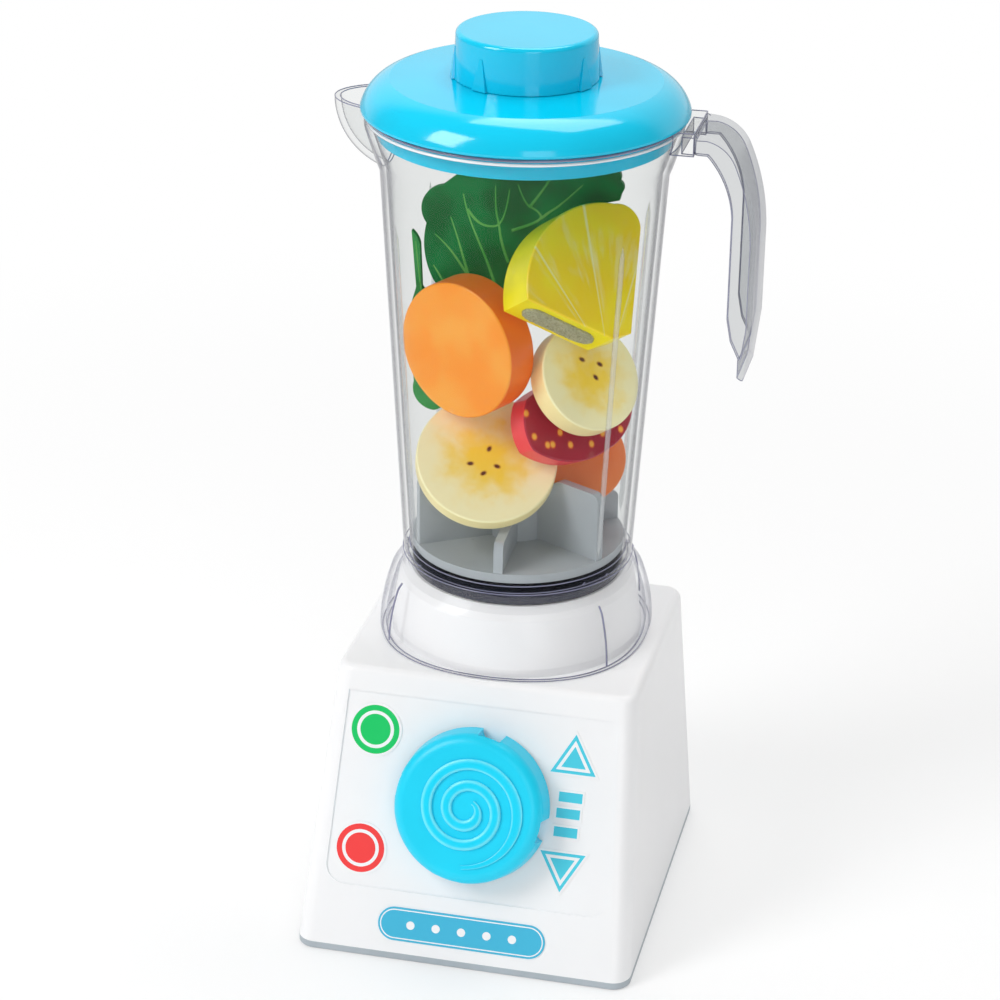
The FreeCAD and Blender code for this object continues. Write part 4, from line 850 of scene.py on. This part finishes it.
def add_pieces():
    """The pieces that only the dressed part has."""
    # Each clear skin gets opaque beads along its sharp edges, painted as edge shade.
    for node, (thick, colour, angle) in EDGE_SHADE_LINES.items():
        skin = merged_copy(node)
        if node == "jar_collar":
            lobed(skin, COLLAR_SWELL)
        slot = SLOTS[node]
        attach(skin, "jar")
        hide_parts(node)
        edges = grown(
            f"{node}_edges", beads, {"Bead radius": thick * MM}, colour, sharp_edges(skin, angle)
        )
        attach(smooth(edges, 60), "jar")
    # The collar's creases are thin dark beads painted as shade down its corners.
    creases = line_mesh("creases", [collar_crease(turn) for turn in CREASE_TURNS])
    for vertex in creases.vertices:
        vertex.co.xy *= 1 + CREASE_LIFT / vertex.co.xy.length
    # A dark bead painted as shade and a white bead painted as a highlight, round the jar's rim.
    shade = line_mesh("rim_shade", [ring(RIM_RADIUS, RIM_SHADE_HEIGHT)])
    glint = line_mesh("rim_glint", [ring(RIM_RADIUS, RIM_GLINT_HEIGHT)])
    for name, start, radius, material, slot in (
        ("collar_creases", creases, 0.36, EDGE_SHADE_PAINT, "clear_collar"),
        ("rim_shade", shade, 0.5, EDGE_SHADE_PAINT, "clear_jar"),
        ("rim_glint", glint, 0.55, RIM_GLINT, "clear_jar"),
    ):
        piece = grown(name, beads, {"Bead radius": radius * MM}, material, start)
        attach(smooth(piece, 60), "jar")
    ridge = grown("knob_spiral", spiral_ridge, {
        "Turn": math.radians(865), "Start turn": math.radians(35), "Start radius": 3.6 * MM,
        "Growth": 16.6 * MM, "Ridge width": 3.9 * MM, "Ridge height": 0.7 * MM,
    }, CREST)
    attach(smooth(ridge, 50), "knob")
    ribs = grown("jar_ribs", upright_ribs, {
        "Length": 118.0 * MM, "Middle height": 194.0 * MM, "Wall radius": 42.55 * MM,
        "Stand out": 0.9 * MM, "Width": 2.0 * MM,
    }, RIB)
    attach(smooth(ribs, 50), "jar")
    loops = grown("patch_loops", tape_loops, {
        "Loops per square metre": 4.0e6, "Loop size": 0.22 * MM,
    }, FINISHES["patch_fabric"], frame["nodes"]["pineapple_patch"].data.copy())
    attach(loops, "impeller")
    for name, slot in (("kale_veins", "kale_wood"), ("spinach_veins", "spinach_wood")):
        veins = leaf_veins(name, VEIN_PAINT)
        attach(veins, "impeller")


# Studio.

FLOOR_DROP = 0.2 * MM
CAMERA_TURNS = (12.76, 24.63, 0.89)
CAMERA_SPOT = (0.2087, -0.9517, 0.5914)
CAMERA_LENS = 107.93


def add_floor():
    """A wide floor just under the feet of the part, so that no two faces share a plane."""
    mesh = bpy.data.meshes.new("floor")
    corners = [(-4, -4, 0), (4, -4, 0), (4, 4, 0), (-4, 4, 0)]
    mesh.from_pydata(corners, [], [(0, 1, 2, 3)])
    floor = bpy.data.objects.new("floor", mesh)
    floor.location.z = -FLOOR_DROP
    bpy.context.scene.collection.objects.link(floor)
    mesh.materials.append(finish("white floor", floor_paint))


def add_lamp(name, place, aim, width, height, power):
    """A soft rectangular lamp that looks at a point."""
    data = bpy.data.lights.new(name, "AREA")
    data.shape = "RECTANGLE"
    data.size, data.size_y, data.energy = width, height, power
    lamp = bpy.data.objects.new(name, data)
    lamp.location = place
    lamp.rotation_mode = "QUATERNION"
    lamp.rotation_quaternion = (Vector(aim) - Vector(place)).to_track_quat("-Z", "Y")
    bpy.context.scene.collection.objects.link(lamp)


def light_studio():
    """Three soft lamps, and a world that mirrors a brighter back than front."""
    add_lamp("key lamp", (-0.85, -0.75, 1.05), (0, 0, 0.15), 0.55, 0.75, 9.6)
    add_lamp("fill lamp", (0.5, -1.25, 0.5), (0, 0, 0.17), 0.5, 0.9, 2.4)
    add_lamp("top lamp", (0.1, 0.3, 1.3), (0, 0, 0.15), 0.9, 0.6, 6.6)
    world = bpy.data.worlds.new("studio")
    world.use_nodes = True
    bpy.context.scene.world = world
    graph = Graph(world.node_tree)
    seen = graph.either_ray("Camera", "Transmission")
    mirrored = graph.node("ShaderNodeLightPath", output="Is Glossy Ray")
    towards = graph.node("ShaderNodeTexCoord", output="Generated")
    behind = graph.node("ShaderNodeSeparateXYZ", None, {0: towards}, 1).ramp(0.3, 0.62)
    strength = seen.ramp(0.0, 1.0, 0.45, 1.0) + mirrored * (behind * 0.62 - 0.22)
    glow = graph.node("ShaderNodeBackground", None, {0: (1, 1, 1, 1), 1: strength})
    graph.node("ShaderNodeOutputWorld", None, {"Surface": glow})


def set_camera():
    """A long lens, a little to the right of the front and well above."""
    azimuth, rise, roll = (math.radians(angle) for angle in CAMERA_TURNS)
    back = Vector((
        math.sin(azimuth) * math.cos(rise), -math.cos(azimuth) * math.cos(rise), math.sin(rise)
    ))
    right = Vector((math.cos(azimuth), math.sin(azimuth), 0))
    up = back.cross(right)
    side = right * math.cos(roll) + up * math.sin(roll)
    top = up * math.cos(roll) - right * math.sin(roll)
    data = bpy.data.cameras.new("camera")
    data.lens = CAMERA_LENS
    data.sensor_width = 36.0
    camera = bpy.data.objects.new("camera", data)
    turn = Matrix((side, top, back)).transposed().to_4x4()
    camera.matrix_world = Matrix.Translation(CAMERA_SPOT) @ turn
    bpy.context.scene.collection.objects.link(camera)
    bpy.context.scene.camera = camera


bpy.context.scene.view_settings.view_transform = "Standard"
set_camera()
light_studio()
add_floor()
dress_nodes()
add_pieces()
